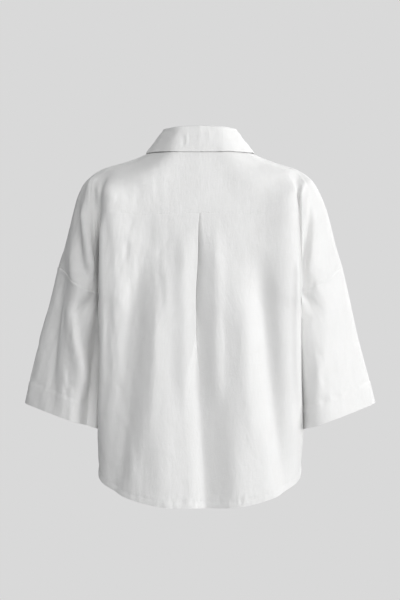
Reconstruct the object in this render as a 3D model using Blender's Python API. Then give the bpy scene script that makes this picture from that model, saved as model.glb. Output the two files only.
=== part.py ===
"""Cropped linen blouse, filled out as worn, with nobody in it.

Frame: +Z up, the front faces -Y and the back +Y, the wearer's left is +X.
The origin is the centre of the neck opening, at the height of the side neck points.

The cloth is one smooth skin, given by key rows. A row is a ring round the garment, named by its
row number from 0 at the neckline to 8 at the armhole. Below that it divides: the trunk goes on
to row 14 at the hem, and each sleeve goes on to row 12 at its own hem.
Round a ring, a place number runs from 0 at centre back over 3 (the fold at the flank), 4 (the
groove between trunk and arm), 5 (the back of the arm) and 7 (the outside of the shoulder and
arm) to 10, 11 and 14 (centre front). Lengths in the tables are millimetres.
"""
from collections import namedtuple
from math import cos, pi, sin

import bmesh
import bpy
import numpy as np

MM = 0.001

# Cloth and seams
CLOTH = 1.5                 # wall of one layer of linen
TURNED = 0.7                # extra wall where a hem is turned in
SEAM_PULL = 0.24            # each piece stops this far short of a seam line
UNDERARM_EASE = 0.4         # trunk and sleeve each give way by this much under the arm
PLACKET_STEP = 2.2          # the under front lies this far inside the upper one
LAP = 15.0                  # each front runs this far past centre front
LAP_FADE = 22.0             # beside the lap, the under front comes up to its own level in this
SLEEVE_HEM = 33.0           # depth of the turned sleeve hem
CUFF_ROW_LENGTH = 53.0      # from row 11 to row 12 down a sleeve

# Rows of the ring where pieces end
ARMHOLE_ROW = 8
UNDERARM_ROW = 9
HEM_ROW = 14
CUFF_ROW = 12

# Places round the ring
FLANK, GROOVE, OUTSIDE, FRONT_GROOVE, CENTRE_FRONT = 3, 4, 7, 10, 14
YOKE_END_BACK = 5.8         # where the back yoke seam meets the armhole
YOKE_END_FRONT = 7.55       # the front yoke seam, just in front of the shoulder ridge

Upper = namedtuple("Upper", "back_z back_y front_z front_y fold_x fold_y groove_x groove_y "
                            "arm_x arm_y out_x out_z rise_x")
UPPER_ROWS = [              # neckline to armhole; rise_x is where a row starts to climb
    Upper(6, 60, -70, -74, 52, 40, 61, 26, 66, 14, 68, 3, 0),
    Upper(-10, 71, -84, -88, 68, 48, 80, 32, 87, 17, 91, -9, 8),
    Upper(-36, 86, -98, -99, 93, 60, 109, 42, 117, 23, 122.5, -22, 25),
    Upper(-70, 99, -113, -109, 120, 73, 142, 53, 155, 32, 163, -36, 50),
    Upper(-105, 108, -130, -117, 141, 84, 162, 64, 176, 45, 188, -56, 82),
    Upper(-140, 112, -152, -122, 152, 86, 167, 66, 184, 57, 204, -88, 112),
    Upper(-172, 114, -178, -125, 159, 83, 168, 58, 189, 67, 214, -121, 138),
    Upper(-204, 115.5, -206, -126, 162, 78, 168, 47, 194, 73, 223, -158, 156),
    Upper(-236, 117, -236, -126, 164, 74, 166, 36, 199, 76, 234, -193, 165),
]
RISE_POWER = 1.4            # how late a row climbs to the shoulder

# Plan of a ring from centre to flank: shares of the fold's x, and of the depth past the fold's y
PLAN_X = (0.0, 0.36, 0.72, 1.0)
PLAN_DEPTH = (1.0, 0.975, 0.78, 0.0)
FRONT_DEPTH = 0.97          # the flank folds lie this much nearer the middle in front
CAP_X, CAP_Y = 0.72, 0.66   # the point between the back of the arm and its outside

Trunk = namedtuple("Trunk", "back_z back_y front_z front_y fold_x fold_y press_x press_y "
                            "side_x side_z")
TRUNK_ROWS = [              # underarm to hem; press is the cloth pushed in by the sleeve
    Trunk(-266, 118, -266, -126, 164.5, 72, 156.5, 34, 150, -264),
    Trunk(-303, 119, -301, -126, 165.5, 70, 155, 34, 146, -298),
    Trunk(-370, 120.5, -366, -125, 166, 68, 157, 33, 147, -358),
    Trunk(-438, 122, -430, -124, 166.5, 64, 161, 30, 153, -414),
    Trunk(-511, 124, -496, -123, 166, 60, 163.5, 28, 159, -466),
    Trunk(-580, 125, -560, -122, 164, 57, 163, 27, 161, -503),
]
HEM_CLIMB = (0.0, 0.02, 0.20, 0.58, 0.85)   # share of a row's climb to the side, at each point

Sleeve = namedtuple("Sleeve", "in_x in_z out_x out_z back_y front_y")
SLEEVE_ROWS = [             # each ring runs from its inner point to its outer one
    Sleeve(153.5, -300, 247, -247, 75, 71),
    Sleeve(157.5, -350, 260, -306, 76, 72),
    Sleeve(161.5, -403, 274, -359, 77, 73),
    Sleeve(165.5, -458, 288, -416, 78, 74),
]
SLEEVE_PLAN = ((0.20, 0.74), (0.52, 1.0), (0.83, 0.66))     # share across, share of the depth

# The back yoke seam: row number at each place round the ring
YOKE_SEAM = ((0.0, 4.12), (1.0, 4.16), (2.0, 4.32), (3.0, 4.75), (4.0, 5.45), (5.0, 6.75),
             (5.8, 7.82), (7.0, 7.2), (9.0, 5.2), (11.0, 4.4), (14.0, 4.1))

Fold = namedtuple("Fold", "depth width top_x top_z mid_x mid_z low_x low_z")
BACK_FOLDS = [              # soft troughs are negative depths, ridges positive ones
    Fold(-8.0, 17, 88, -122, 80, -240, 110, -545),
    Fold(4.0, 12, 116, -190, 127, -300, 128, -440),
    Fold(-4.0, 13, 142, -330, 143, -440, 141, -560),
    Fold(3.5, 12, 16, -112, 15, -300, 20, -470),
    Fold(-2.5, 7, -45, -112, -48, -150, -50, -192),
    Fold(-5.5, 15, -98, -106, -122, -200, -135, -330),
    Fold(-3.0, 14, -137, -330, -134, -430, -131, -535),
    Fold(3.0, 13, -92, -230, -98, -380, -96, -560),
    Fold(3.0, 13, 62, -260, 60, -400, 70, -560),
]
FRONT_FOLDS = [
    Fold(-7.0, 16, 92, -170, 84, -300, 96, -540),
    Fold(4.0, 13, 118, -230, 124, -350, 122, -520),
    Fold(-6.0, 15, -84, -160, -98, -290, -88, -540),
    Fold(3.5, 13, -122, -240, -126, -360, -120, -520),
    Fold(-3.5, 12, 50, -260, 46, -380, 54, -545),
    Fold(-3.5, 12, -48, -300, -54, -420, -50, -548),
]
SLEEVE_FOLDS = [            # x is the place round the ring, z the row
    Fold(-6.0, 0.32, 5.05, 5.4, 5.35, 7.4, 5.75, 9.8),
    Fold(4.0, 0.26, 5.5, 5.2, 5.9, 7.5, 6.2, 9.6),
    Fold(-5.0, 0.34, 5.5, 8.6, 5.75, 10.2, 5.85, 11.7),
    Fold(4.0, 0.30, 4.9, 9.0, 5.1, 10.4, 5.2, 11.8),
    Fold(-5.0, 0.34, 8.9, 6.6, 8.6, 8.4, 8.3, 10.4),
    Fold(3.5, 0.30, 8.2, 7.4, 8.0, 9.0, 7.8, 10.8),
]

# Inverted pleat: where its two fold edges lie on the back, from the yoke seam down
Pleat = namedtuple("Pleat", "z left_x right_x")
PLEAT_ROWS = [
    Pleat(-106, 0.8, -0.8), Pleat(-128, 2.8, -3.0), Pleat(-182, 3.9, -13.0),
    Pleat(-247, 7.0, -21.5), Pleat(-312, 5.6, -32.0), Pleat(-380, 2.4, -36.5),
    Pleat(-446, -0.8, -45.5), Pleat(-511, -5.6, -52.0), Pleat(-590, -10.5, -55.0),
]
PLEAT_CLOTH = 78.0          # width of cloth folded away
PLEAT_GAP = 0.6             # air between its layers
PLEAT_SINK = 7.0            # how far the underlay sinks where the pleat hangs open
PLEAT_SIDE = 1.6            # places on each side whose columns give way to the pleat
PLEAT_TURN = 2.4            # reach of the rounded turn at each fold

Collar = namedtuple("Collar", "place stand lean edge_place edge_row lift")
COLLAR_STATIONS = [         # lean is inwards; lift holds the fall's edge off the cloth below
    Collar(0.0, 25.5, 3.5, 0.0, 0.95, 3.6),
    Collar(2.0, 25.5, 6.5, 2.0, 0.94, 3.6),
    Collar(4.5, 26, 11.0, 4.4, 0.90, 3.6),
    Collar(7.0, 27, 14.0, 7.0, 0.86, 3.6),
    Collar(9.5, 27, 9.0, 9.2, 1.15, 4.2),
    Collar(12.0, 25, 4.5, 11.2, 2.15, 4.8),
    Collar(13.85, 22, 2.0, 12.5, 3.15, 5.2),
]
COLLAR_WALL = 2.0
COLLAR_ROLL = 3.2           # radius of the roll at the top
COLLAR_BULGE = 0.4          # how far the fall swells outwards

BUTTON_COUNT = 5
BUTTON_RADIUS = 5.6
BUTTON_WALL = 2.6
BUTTON_SIDES = 20
BUTTON_TOP_Z = -92.0
BUTTON_STEP = 90.0
BUTTON_LIFT = 0.5           # air between a button and the front it lies on

LINEN = (0.84, 0.845, 0.85)
SHELL = (0.88, 0.87, 0.84)


# ---------------------------------------------------------------- curves

def ring_spline(points):
    """Closed smooth curve through points (n, 3); returns a function of the point number."""
    count = len(points)
    step = np.linalg.norm(np.roll(points, -1, axis=0) - points, axis=1)
    before = np.roll(step, 1)
    system = np.zeros((count, count))
    right = np.zeros((count, 3))
    for i in range(count):
        j, k = (i - 1) % count, (i + 1) % count
        system[i, j] += before[i]
        system[i, i] += 2 * (before[i] + step[i])
        system[i, k] += step[i]
        right[i] = 6 * ((points[k] - points[i]) / step[i] - (points[i] - points[j]) / before[i])
    bend = np.linalg.solve(system, right)

    def at(number):
        number = np.mod(np.asarray(number, float), count)
        i = np.minimum(number.astype(int), count - 1)
        k = (i + 1) % count
        t = (number - i)[:, None]
        h = step[i][:, None]
        line = points[i] * (1 - t) + points[k] * t
        return line + h * h / 6 * (((1 - t) ** 3 - (1 - t)) * bend[i] + (t ** 3 - t) * bend[k])
    return at


def row_slopes(values):
    """Slopes along axis 0 that never overshoot, one unit apart."""
    rise = np.diff(values, axis=0)
    slopes = np.zeros_like(values)
    a, b = rise[:-1], rise[1:]
    same = a * b > 0
    total = np.where(same, a + b, 1.0)
    slopes[1:-1] = np.where(same, 2 * a * b / total, 0.0)
    slopes[0] = rise[0]
    slopes[-1] = rise[-1]
    return slopes


def between_rows(keys, row):
    """Point at a row number on each column of keys (rows, columns, 3)."""
    row = np.clip(row, 0, len(keys) - 1)
    i = np.minimum(row.astype(int), len(keys) - 2)
    t = (row - i)[:, None]
    slopes = row_slopes(keys)
    column = np.arange(keys.shape[1])
    p, q = keys[i, column], keys[i + 1, column]
    m, n = slopes[i, column], slopes[i + 1, column]
    return ((1 + 2 * t) * (1 - t) ** 2 * p + t * (1 - t) ** 2 * m
            + t * t * (3 - 2 * t) * q + t * t * (t - 1) * n)


def table_curve(xs, ys):
    """Smooth function through a table, flat at its turning points."""
    xs, ys = np.asarray(xs, float), np.asarray(ys, float)
    gaps = np.diff(xs)
    rise = np.diff(ys) / gaps
    slopes = np.zeros_like(ys)
    a, b = rise[:-1], rise[1:]
    same = a * b > 0
    slopes[1:-1] = np.where(same, 2 * a * b / np.where(same, a + b, 1.0), 0.0)
    slopes[0], slopes[-1] = rise[0], rise[-1]

    def at(x):
        x = np.clip(np.asarray(x, float), xs[0], xs[-1])
        i = np.clip(np.searchsorted(xs, x, side="right") - 1, 0, len(gaps) - 1)
        t = (x - xs[i]) / gaps[i]
        return ((1 + 2 * t) * (1 - t) ** 2 * ys[i] + t * (1 - t) ** 2 * gaps[i] * slopes[i]
                + t * t * (3 - 2 * t) * ys[i + 1] + t * t * (t - 1) * gaps[i] * slopes[i + 1])
    return at


def smooth(t):
    t = np.clip(t, 0.0, 1.0)
    return t * t * (3 - 2 * t)


# ---------------------------------------------------------------- the skin

def centre_plan(row, front):
    """Plan points (x, y) of a ring from its centre to the fold at the flank."""
    deep = abs(row.front_y) if front else row.back_y
    fold = row.fold_y * (FRONT_DEPTH if front else 1.0)
    way = -1 if front else 1
    return [(row.fold_x * share, way * (fold + (deep - fold) * depth))
            for share, depth in zip(PLAN_X, PLAN_DEPTH)]


def whole_ring(back, middle, front):
    """Closed curve from the left half's points: back, the outermost one, and front."""
    side = back + [middle] + front[::-1]
    other = [(-x, y, z) for x, y, z in side[1:-1][::-1]]
    return ring_spline(np.array(side + other))


def upper_ring(row):
    """Points 0 to 27 round a whole ring above the armhole."""
    def half(front):
        way = -FRONT_DEPTH if front else 1.0
        low_z = row.front_z if front else row.back_z
        plan = centre_plan(row, front)
        plan += [(row.groove_x, way * row.groove_y), (row.arm_x, way * row.arm_y),
                 (row.arm_x + CAP_X * (row.out_x - row.arm_x), way * CAP_Y * row.arm_y)]
        points = []
        for x, y in plan:
            share = np.clip((x - row.rise_x) / (row.out_x - row.rise_x), 0, 1) ** RISE_POWER
            points.append((x, y, low_z + (row.out_z - low_z) * share))
        return points

    return whole_ring(half(False), (row.out_x, 0.0, row.out_z), half(True))


def trunk_ring(row):
    """Points 0 to 19 round a ring below the underarm: 5 is the side seam, 10 centre front."""
    def half(front):
        way = -FRONT_DEPTH if front else 1.0
        low_z = row.front_z if front else row.back_z
        plan = centre_plan(row, front) + [(row.press_x, way * row.press_y)]
        return [(x, y, low_z + (row.side_z - low_z) * climb)
                for (x, y), climb in zip(plan, HEM_CLIMB)]

    return whole_ring(half(False), (row.side_x, 0.0, row.side_z), half(True))


def sleeve_ring(row):
    """Points 0 to 7 round a sleeve: 0 is the inside, 4 the outside, 1 to 3 the back."""
    def place(share, y):
        return (row.in_x + share * (row.out_x - row.in_x), y,
                row.in_z + share * (row.out_z - row.in_z))

    back = [place(share, depth * row.back_y) for share, depth in SLEEVE_PLAN]
    front = [place(share, -depth * row.front_y) for share, depth in SLEEVE_PLAN[::-1]]
    return ring_spline(np.array([place(0, 0)] + back + [place(1, 0)] + front))


UPPER_CURVES = [upper_ring(row) for row in UPPER_ROWS]
TRUNK_CURVES = [trunk_ring(row) for row in TRUNK_ROWS]
SLEEVE_CURVES = [sleeve_ring(row) for row in SLEEVE_ROWS]


def trunk_keys(place):
    """Key points of the trunk's columns, at places 0 to 4 and 10 to 14."""
    back = place <= GROOVE
    near = np.where(back, place, CENTRE_FRONT - place)
    lower = np.where(near <= FLANK, near, FLANK + 2 * (near - FLANK))
    lower = np.where(back, lower, 10 - lower)
    return np.array([curve(place) for curve in UPPER_CURVES]
                    + [curve(lower) for curve in TRUNK_CURVES])


def arm_keys(place):
    """Key points of the shoulder and sleeve columns, at places 4 to 10."""
    return np.array([curve(place) for curve in UPPER_CURVES]
                    + [curve(place - 3) for curve in SLEEVE_CURVES])


def base_trunk(place, row):
    return between_rows(trunk_keys(place), row)


def base_arm(place, row):
    return between_rows(arm_keys(place), row)


def base_inner(place, row):
    """Inner side of the sleeve. Place -1 to 1 goes from the front groove over the underarm
    seam to the back groove; the row runs from 8 at the armhole to 12."""
    groove = np.where(place >= 0, GROOVE, FRONT_GROOVE).astype(float)
    edge = base_trunk(groove, UNDERARM_ROW - np.abs(place))
    keys = np.array([edge] + [curve(place) for curve in SLEEVE_CURVES])
    return between_rows(keys, row - ARMHOLE_ROW)


def fold_shift(folds, x, z, reach):
    """Sum of soft troughs and ridges; each follows a bent line and fades at its ends."""
    total = np.zeros_like(x)
    for fold in folds:
        run = (z - fold.top_z) / (fold.low_z - fold.top_z)
        middle = (fold.mid_z - fold.top_z) / (fold.low_z - fold.top_z)
        line = table_curve((0, middle, 1), (fold.top_x, fold.mid_x, fold.low_x))
        across = (x - line(run)) / fold.width
        fade = smooth((run + 0.02) / reach) * smooth((1.02 - run) / reach)
        total += fold.depth * np.exp(-across ** 2) * fade
    return total


def in_arm(place):
    return (place >= GROOVE) & (place <= FRONT_GROOVE)


def base_ring(place, row):
    """Whole ring above the armhole: trunk and arm columns side by side."""
    trunk = base_trunk(np.where(in_arm(place), GROOVE, place), row)
    arm = base_arm(np.clip(place, GROOVE, FRONT_GROOVE), row)
    return np.where(in_arm(place)[:, None], arm, trunk)


BASE = {"ring": base_ring, "trunk": base_trunk, "arm": base_arm, "inner": base_inner}
STEP = 0.02                 # step in places and rows for taking slopes


def fold_out(kind, place, row, hand, point):
    """How far the folds push the cloth out. hand is 1 on the wearer's left, -1 on the right."""
    x, z = point[:, 0] * hand, point[:, 2]
    back = place <= OUTSIDE
    near = np.where(back, place, CENTRE_FRONT - place)
    on_trunk = (1 - smooth(near - 2.9)) * smooth((row - 3.5) / 2)
    trunk = on_trunk * np.where(back, fold_shift(BACK_FOLDS, x, z, 0.25),
                                fold_shift(FRONT_FOLDS, x, z, 0.25))
    ends = smooth((place - 4.1) / 0.7) * smooth((9.9 - place) / 0.7)
    arm = fold_shift(SLEEVE_FOLDS, place, row, 0.3) * ends
    if kind == "inner":
        return np.zeros_like(x)
    if kind == "trunk":
        return trunk
    if kind == "arm":
        return arm
    return np.where(in_arm(place), arm, trunk)


def outward(kind, place, row):
    """Unit normals of the skin before its folds."""
    base = BASE[kind]
    low_place, high_place = place - STEP, place + STEP
    low_row, high_row = row - STEP, row + STEP
    if kind == "ring":
        low_place = np.maximum(low_place, 0)
        at_groove = (place == GROOVE) | (place == FRONT_GROOVE)
        high_row = np.where(at_groove, np.minimum(high_row, ARMHOLE_ROW), high_row)
    if kind == "trunk":
        back = place <= OUTSIDE
        low_place = np.where(back, np.maximum(low_place, 0),
                             np.maximum(low_place, FRONT_GROOVE))
        high_place = np.where(back, np.minimum(high_place, GROOVE), high_place)
    if kind == "arm":
        low_place = np.maximum(low_place, GROOVE)
        high_place = np.minimum(high_place, FRONT_GROOVE)
    if kind == "inner":
        low_place, high_place = np.maximum(low_place, -1), np.minimum(high_place, 1)
        low_row = np.maximum(low_row, ARMHOLE_ROW)
    high_place = np.minimum(high_place, CENTRE_FRONT)
    along = base(high_place, row) - base(low_place, row)
    at_centre = (place <= 0) | (place >= CENTRE_FRONT)
    if kind in ("ring", "trunk"):
        along[at_centre, 1:] = 0
    down = base(place, high_row) - base(place, low_row)
    normal = np.cross(along, down)
    return normal / np.linalg.norm(normal, axis=1)[:, None]


def armpit_ease(kind, place, row):
    """Extra inset beside the underarm, where trunk and sleeve hang face to face."""
    if kind == "inner":
        return UNDERARM_EASE * (1 - smooth((row - ARMHOLE_ROW - 1) / 1.5))
    near = np.where(place <= OUTSIDE, place, CENTRE_FRONT - place)
    if kind == "trunk":
        return UNDERARM_EASE * smooth((near - 3.2) / 0.6) * (1 - smooth((row - 9.5) / 1.5))
    if kind == "arm":
        return UNDERARM_EASE * (1 - smooth((near - GROOVE) / 0.6)) * smooth((row - 7.9) / 0.3)
    return np.zeros_like(place)


def skin(kind, place, row, side=1, inset=0.0, folds=True):
    """Outer face of the cloth: points and outward normals in millimetres.

    side is 1 for the wearer's left and -1 for the right, which mirrors it but for the folds.
    Places past 14 or below 0 go over to the other side. inset moves the face inwards."""
    shape = np.broadcast(place, row).shape
    place = np.broadcast_to(np.asarray(place, float), shape).ravel()
    row = np.broadcast_to(np.asarray(row, float), shape).ravel()
    hand = np.full_like(place, side)
    if kind in ("ring", "trunk"):
        hand = np.where((place < 0) | (place > CENTRE_FRONT), -side, side)
        place = np.where(place > CENTRE_FRONT, 2 * CENTRE_FRONT - place, np.abs(place))
    point = BASE[kind](place, row)
    normal = outward(kind, place, row)
    mirror = np.stack([hand, np.ones_like(hand), np.ones_like(hand)], axis=1)
    folded = fold_out(kind, place, row, hand, point * mirror) if folds else 0.0
    inset = np.broadcast_to(np.asarray(inset, float), shape).ravel()
    inset = inset + armpit_ease(kind, place, row)
    point = point + normal * (folded - inset)[:, None]
    return (point * mirror).reshape(shape + (3,)), (normal * mirror).reshape(shape + (3,))


# ---------------------------------------------------------------- walls

def pulled(outer, cells, closed):
    """Moves for the points on the edge of a piece, so that it stops short of its seams."""
    rows, columns = outer.shape[:2]
    if closed:
        wide = np.concatenate([cells[:, -1:], cells], axis=1)
    else:
        wide = np.pad(cells, ((0, 0), (1, 1)))
    wide = np.pad(wide, ((1, 1), (0, 0))).astype(int)
    above_left, above_right = wide[:-1, :columns], wide[:-1, 1:columns + 1]
    below_left, below_right = wide[1:, :columns], wide[1:, 1:columns + 1]
    down = np.sign(below_left + below_right - above_left - above_right)
    right = np.sign(above_right + below_right - above_left - below_left)
    moves = np.zeros_like(outer)
    for i in range(rows):
        for j in range(columns):
            before, after = (j - 1) % columns, (j + 1) % columns
            if not closed:
                before, after = max(j - 1, 0), min(j + 1, columns - 1)
            across = outer[i, after] - outer[i, before]
            upright = outer[min(i + 1, rows - 1), j] - outer[max(i - 1, 0), j]
            if down[i, j]:
                way = outer[i + down[i, j], j] - outer[i, j]
                moves[i, j] += way * pull_share(way, across)
            if right[i, j]:
                way = outer[i, (j + right[i, j]) % columns] - outer[i, j]
                moves[i, j] += way * pull_share(way, upright)
    return moves


def pull_share(way, seam):
    """Share of way that leaves a seam running along seam by SEAM_PULL."""
    seam = seam / np.linalg.norm(seam)
    clear = np.linalg.norm(way - seam * np.dot(way, seam))
    return SEAM_PULL / max(clear, 0.4 * np.linalg.norm(way))


def wall(name, outer, inner, cells, closed, material):
    """One closed solid from two faces of a lattice of points, kept where cells is true."""
    rows, columns = outer.shape[:2]
    moves = pulled(outer, cells, closed)
    outer, inner = outer + moves, inner + moves
    mesh = bpy.data.meshes.new(name)
    shape = bmesh.new()
    corners = {}

    def corner(face, i, j):
        key = (face, i, j % columns)
        if key not in corners:
            point = (outer if face == 0 else inner)[i, j % columns]
            corners[key] = shape.verts.new(point * MM)
        return corners[key]

    def present(i, j):
        if closed:
            j %= columns
        inside = 0 <= i < cells.shape[0] and 0 <= j < cells.shape[1]
        return bool(inside and cells[i, j])

    for i in range(cells.shape[0]):
        for j in range(cells.shape[1]):
            if not cells[i, j]:
                continue
            loop = ((i, j), (i, j + 1), (i + 1, j + 1), (i + 1, j))
            near, far = (outer[k[0], k[1] % columns] for k in (loop[0], loop[2]))
            left, right = (outer[k[0], k[1] % columns] for k in (loop[3], loop[1]))
            short = np.linalg.norm(near - far) <= np.linalg.norm(left - right)
            for a, b, c in ((0, 1, 2), (0, 2, 3)) if short else ((1, 2, 3), (1, 3, 0)):
                shape.faces.new([corner(0, *loop[k]) for k in (a, b, c)])
                shape.faces.new([corner(1, *loop[k]) for k in (c, b, a)])
            around = (present(i - 1, j), present(i, j + 1), present(i + 1, j), present(i, j - 1))
            for k in range(4):
                if around[k]:
                    continue
                a, b = loop[k], loop[(k + 1) % 4]
                rim = [corner(0, *b), corner(0, *a), corner(1, *a), corner(1, *b)]
                turned = rim[0].co.z - abs(rim[0].co.x) > rim[1].co.z - abs(rim[1].co.x)
                for trio in ((1, 2, 3), (1, 3, 0)) if turned else ((0, 1, 2), (0, 2, 3)):
                    shape.faces.new([rim[m] for m in trio])
    bmesh.ops.recalc_face_normals(shape, faces=shape.faces)
    shape.to_mesh(mesh)
    shape.free()
    mesh.shade_smooth()
    mesh.set_sharp_from_angle(angle=pi / 4)
    mesh.materials.append(material)
    piece = bpy.data.objects.new(name, mesh)
    bpy.context.scene.collection.objects.link(piece)
    return piece


def yoke_seam(place):
    return table_curve(*zip(*YOKE_SEAM))(place)


def upper_rows(places, above, below):
    """Row numbers of a lattice from the neckline over the yoke seam line to the armhole."""
    seam = yoke_seam(np.clip(places, 0, CENTRE_FRONT))
    top = [seam * k / above for k in range(above)]
    low = [seam + (ARMHOLE_ROW - seam) * k / below for k in range(below + 1)]
    return np.array(top + low)


ROWS_ABOVE, ROWS_BELOW = 6, 6
TRUNK_STEPS = (8.33, 8.67, 9, 9.5, 10, 10.5, 11, 11.5, 12, 12.5, 13, 13.5, 14)
BACK_PLACES = [k / 4 for k in range(12)] + [3.0, 3.3, 3.6, 3.82, 4.0]
ARM_BACK_PLACES = [4.07, 4.2, 4.5, 4.9, 5.35, YOKE_END_BACK]
RIDGE_PLACES = [6.4, 7.0, YOKE_END_FRONT]
ARM_FRONT_PLACES = [8.15, 8.65, 9.1, 9.5, 9.8, 9.93]
FRONT_PLACES = [10.0, 10.18, 10.4, 10.7, 11.0] + [11 + k * 0.375 for k in range(1, 8)] + [14.0]


# ---------------------------------------------------------------- pieces

def make_yoke(material):
    one_side = np.array(BACK_PLACES + ARM_BACK_PLACES + RIDGE_PLACES)
    places = np.concatenate([-one_side[:0:-1], one_side])
    near = np.abs(places)
    rows = upper_rows(near, ROWS_ABOVE, ROWS_BELOW)
    outer, normal = ring_both(places, rows)
    cells = np.ones((rows.shape[0] - 1, len(places) - 1), bool)
    middle = (near[:-1] + near[1:]) / 2
    cells[ROWS_ABOVE:, middle < YOKE_END_BACK] = False
    return wall("yoke", outer, outer - normal * CLOTH, cells, False, material)


def ring_both(places, rows):
    """Skin of a lattice whose negative places are on the wearer's right."""
    wide = np.broadcast_to(places, rows.shape)
    left, left_normal = skin("ring", np.abs(wide), rows, 1)
    right, right_normal = skin("ring", np.abs(wide), rows, -1)
    on_left = (wide >= 0)[..., None]
    return np.where(on_left, left, right), np.where(on_left, left_normal, right_normal)


def pleat_path(left, right):
    """Section through the pleat: (x, depth) of the outer and the inner side of the wall, from
    the wearer's left to the right. left and right are the x of the two fold edges."""
    thick, gap = CLOTH, PLEAT_GAP
    over = (PLEAT_CLOTH - (left - right)) / 4
    middle, bottom = thick + gap, 2 * (thick + gap)
    tip, turn = thick + gap / 2, PLEAT_TURN
    edge = [((turn, 0), (turn, thick)),
            ((0.5, 0.35), (thick + 0.3, thick)),
            ((0, tip), (thick, tip)),
            ((0.5, middle + thick - 0.35), (thick + 0.3, middle)),
            ((turn, middle + thick), (turn, middle))]
    far = [((over - turn, middle + thick), (over - turn, middle)),
           ((over - thick, bottom - gap / 2), (over, bottom - gap / 2)),
           ((over - turn, bottom), (over - turn, bottom + thick))]
    half = edge + far
    left_half = [((left + a[0], a[1]), (left + b[0], b[1])) for a, b in half]
    right_half = [((right - a[0], a[1]), (right - b[0], b[1])) for a, b in half]
    start, end = left_half[-1][0][0], right_half[-1][0][0]
    sink = PLEAT_SINK * smooth((left - right - 2) / 40)
    under = []
    for share in (0.2, 0.4, 0.6, 0.8):
        x = start + (end - start) * share
        low = bottom + sink * sin(pi * share) ** 2
        under.append(((x, low), (x, low + thick)))
    return left_half + under + right_half[::-1]


def make_back(material):
    """Back panel: groove to groove below the yoke seam, with a piece of each arm back."""
    outer_places = np.array(BACK_PLACES + ARM_BACK_PLACES)
    outer_places = outer_places[outer_places >= PLEAT_SIDE][::-1]
    left_edge = table_curve([-p.z for p in PLEAT_ROWS], [p.left_x for p in PLEAT_ROWS])
    right_edge = table_curve([-p.z for p in PLEAT_ROWS], [p.right_x for p in PLEAT_ROWS])
    upper = ROWS_BELOW + 1
    numbers = list(range(upper)) + list(TRUNK_STEPS)
    outer, inner = [], []
    for i, number in enumerate(numbers):
        kind = "ring" if i < upper else "trunk"

        def row_at(place):
            seam = yoke_seam(np.abs(place))
            if i < upper:
                return seam + (ARMHOLE_ROW - seam) * i / ROWS_BELOW
            return np.full_like(seam, number)

        first = skin(kind, np.array([1.0]), row_at(np.array([1.0])))[0][0]
        height = -skin(kind, np.array([0.0]), row_at(np.array([0.0])))[0][0][2]
        left, right = float(left_edge(height)), float(right_edge(height))
        path = pleat_path(left, right)
        reach = first[0] * PLEAT_SIDE
        starts = (path[0][0][0], -path[-1][0][0])
        shares = np.array([0.8, 0.6, 0.4, 0.2])
        ramps = [(start + (reach - start) * shares) / first[0] for start in starts]
        faces = []
        for face in (0, 1):
            x = np.array([point[face][0] for point in path])
            depth = np.array([point[face][1] for point in path])
            place = np.abs(x) / first[0]
            near, normal = skin(kind, place, row_at(place), 1, folds=False)
            far, far_normal = skin(kind, place, row_at(place), -1, folds=False)
            on_left = (x >= 0)[:, None]
            base = np.where(on_left, near, far)
            faces.append(base - np.where(on_left, normal, far_normal) * depth[:, None])
        sides = []
        for side, ramp in ((1, ramps[0]), (-1, ramps[1])):
            place = np.concatenate([outer_places, ramp])
            if kind == "trunk":
                place = np.minimum(place, GROOVE)
            point, normal = skin(kind, place, row_at(place), side)
            sides.append((point, point - normal * CLOTH))
        outer.append(np.concatenate([sides[0][0], faces[0], sides[1][0][::-1]]))
        inner.append(np.concatenate([sides[0][1], faces[1], sides[1][1][::-1]]))
    outer, inner = np.array(outer), np.array(inner)
    cells = np.ones((outer.shape[0] - 1, outer.shape[1] - 1), bool)
    arm = len(ARM_BACK_PLACES)
    cells[ROWS_BELOW:, :arm] = False
    cells[ROWS_BELOW:, -arm:] = False
    return wall("back", outer, inner, cells, False, material)


def make_front(name, side, material):
    """One front: from the front yoke seam to past centre front, neckline to hem."""
    places = np.array([YOKE_END_FRONT] + ARM_FRONT_PLACES + FRONT_PLACES)
    upper = upper_rows(places, ROWS_ABOVE, ROWS_BELOW)
    rows = np.concatenate([upper, np.outer(TRUNK_STEPS, np.ones(len(places)))])
    outer, inner = [], []
    split = upper.shape[0]
    for i in range(rows.shape[0]):
        kind = "ring" if i < split else "trunk"
        row = rows[i]
        across = skin(kind, np.array([13.0]), row[-1:])[0][0][0]
        lap = CENTRE_FRONT + np.array([0.5, 1.0]) * LAP / across
        place = np.concatenate([places, lap])
        row = np.concatenate([row, row[-1:].repeat(2)])
        if kind == "trunk":
            place = np.maximum(place, FRONT_GROOVE)
        inset = 0.0
        if side > 0:
            x = (CENTRE_FRONT - place) * across
            inset = PLACKET_STEP * (1 - smooth((x - LAP) / LAP_FADE))
        point, normal = skin(kind, place, row, side, inset)
        outer.append(point)
        inner.append(point - normal * CLOTH)
    outer, inner = np.array(outer), np.array(inner)
    cells = np.ones((outer.shape[0] - 1, outer.shape[1] - 1), bool)
    cells[split - 1:, :1 + len(ARM_FRONT_PLACES)] = False
    return wall(name, outer, inner, cells, False, material)


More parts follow.
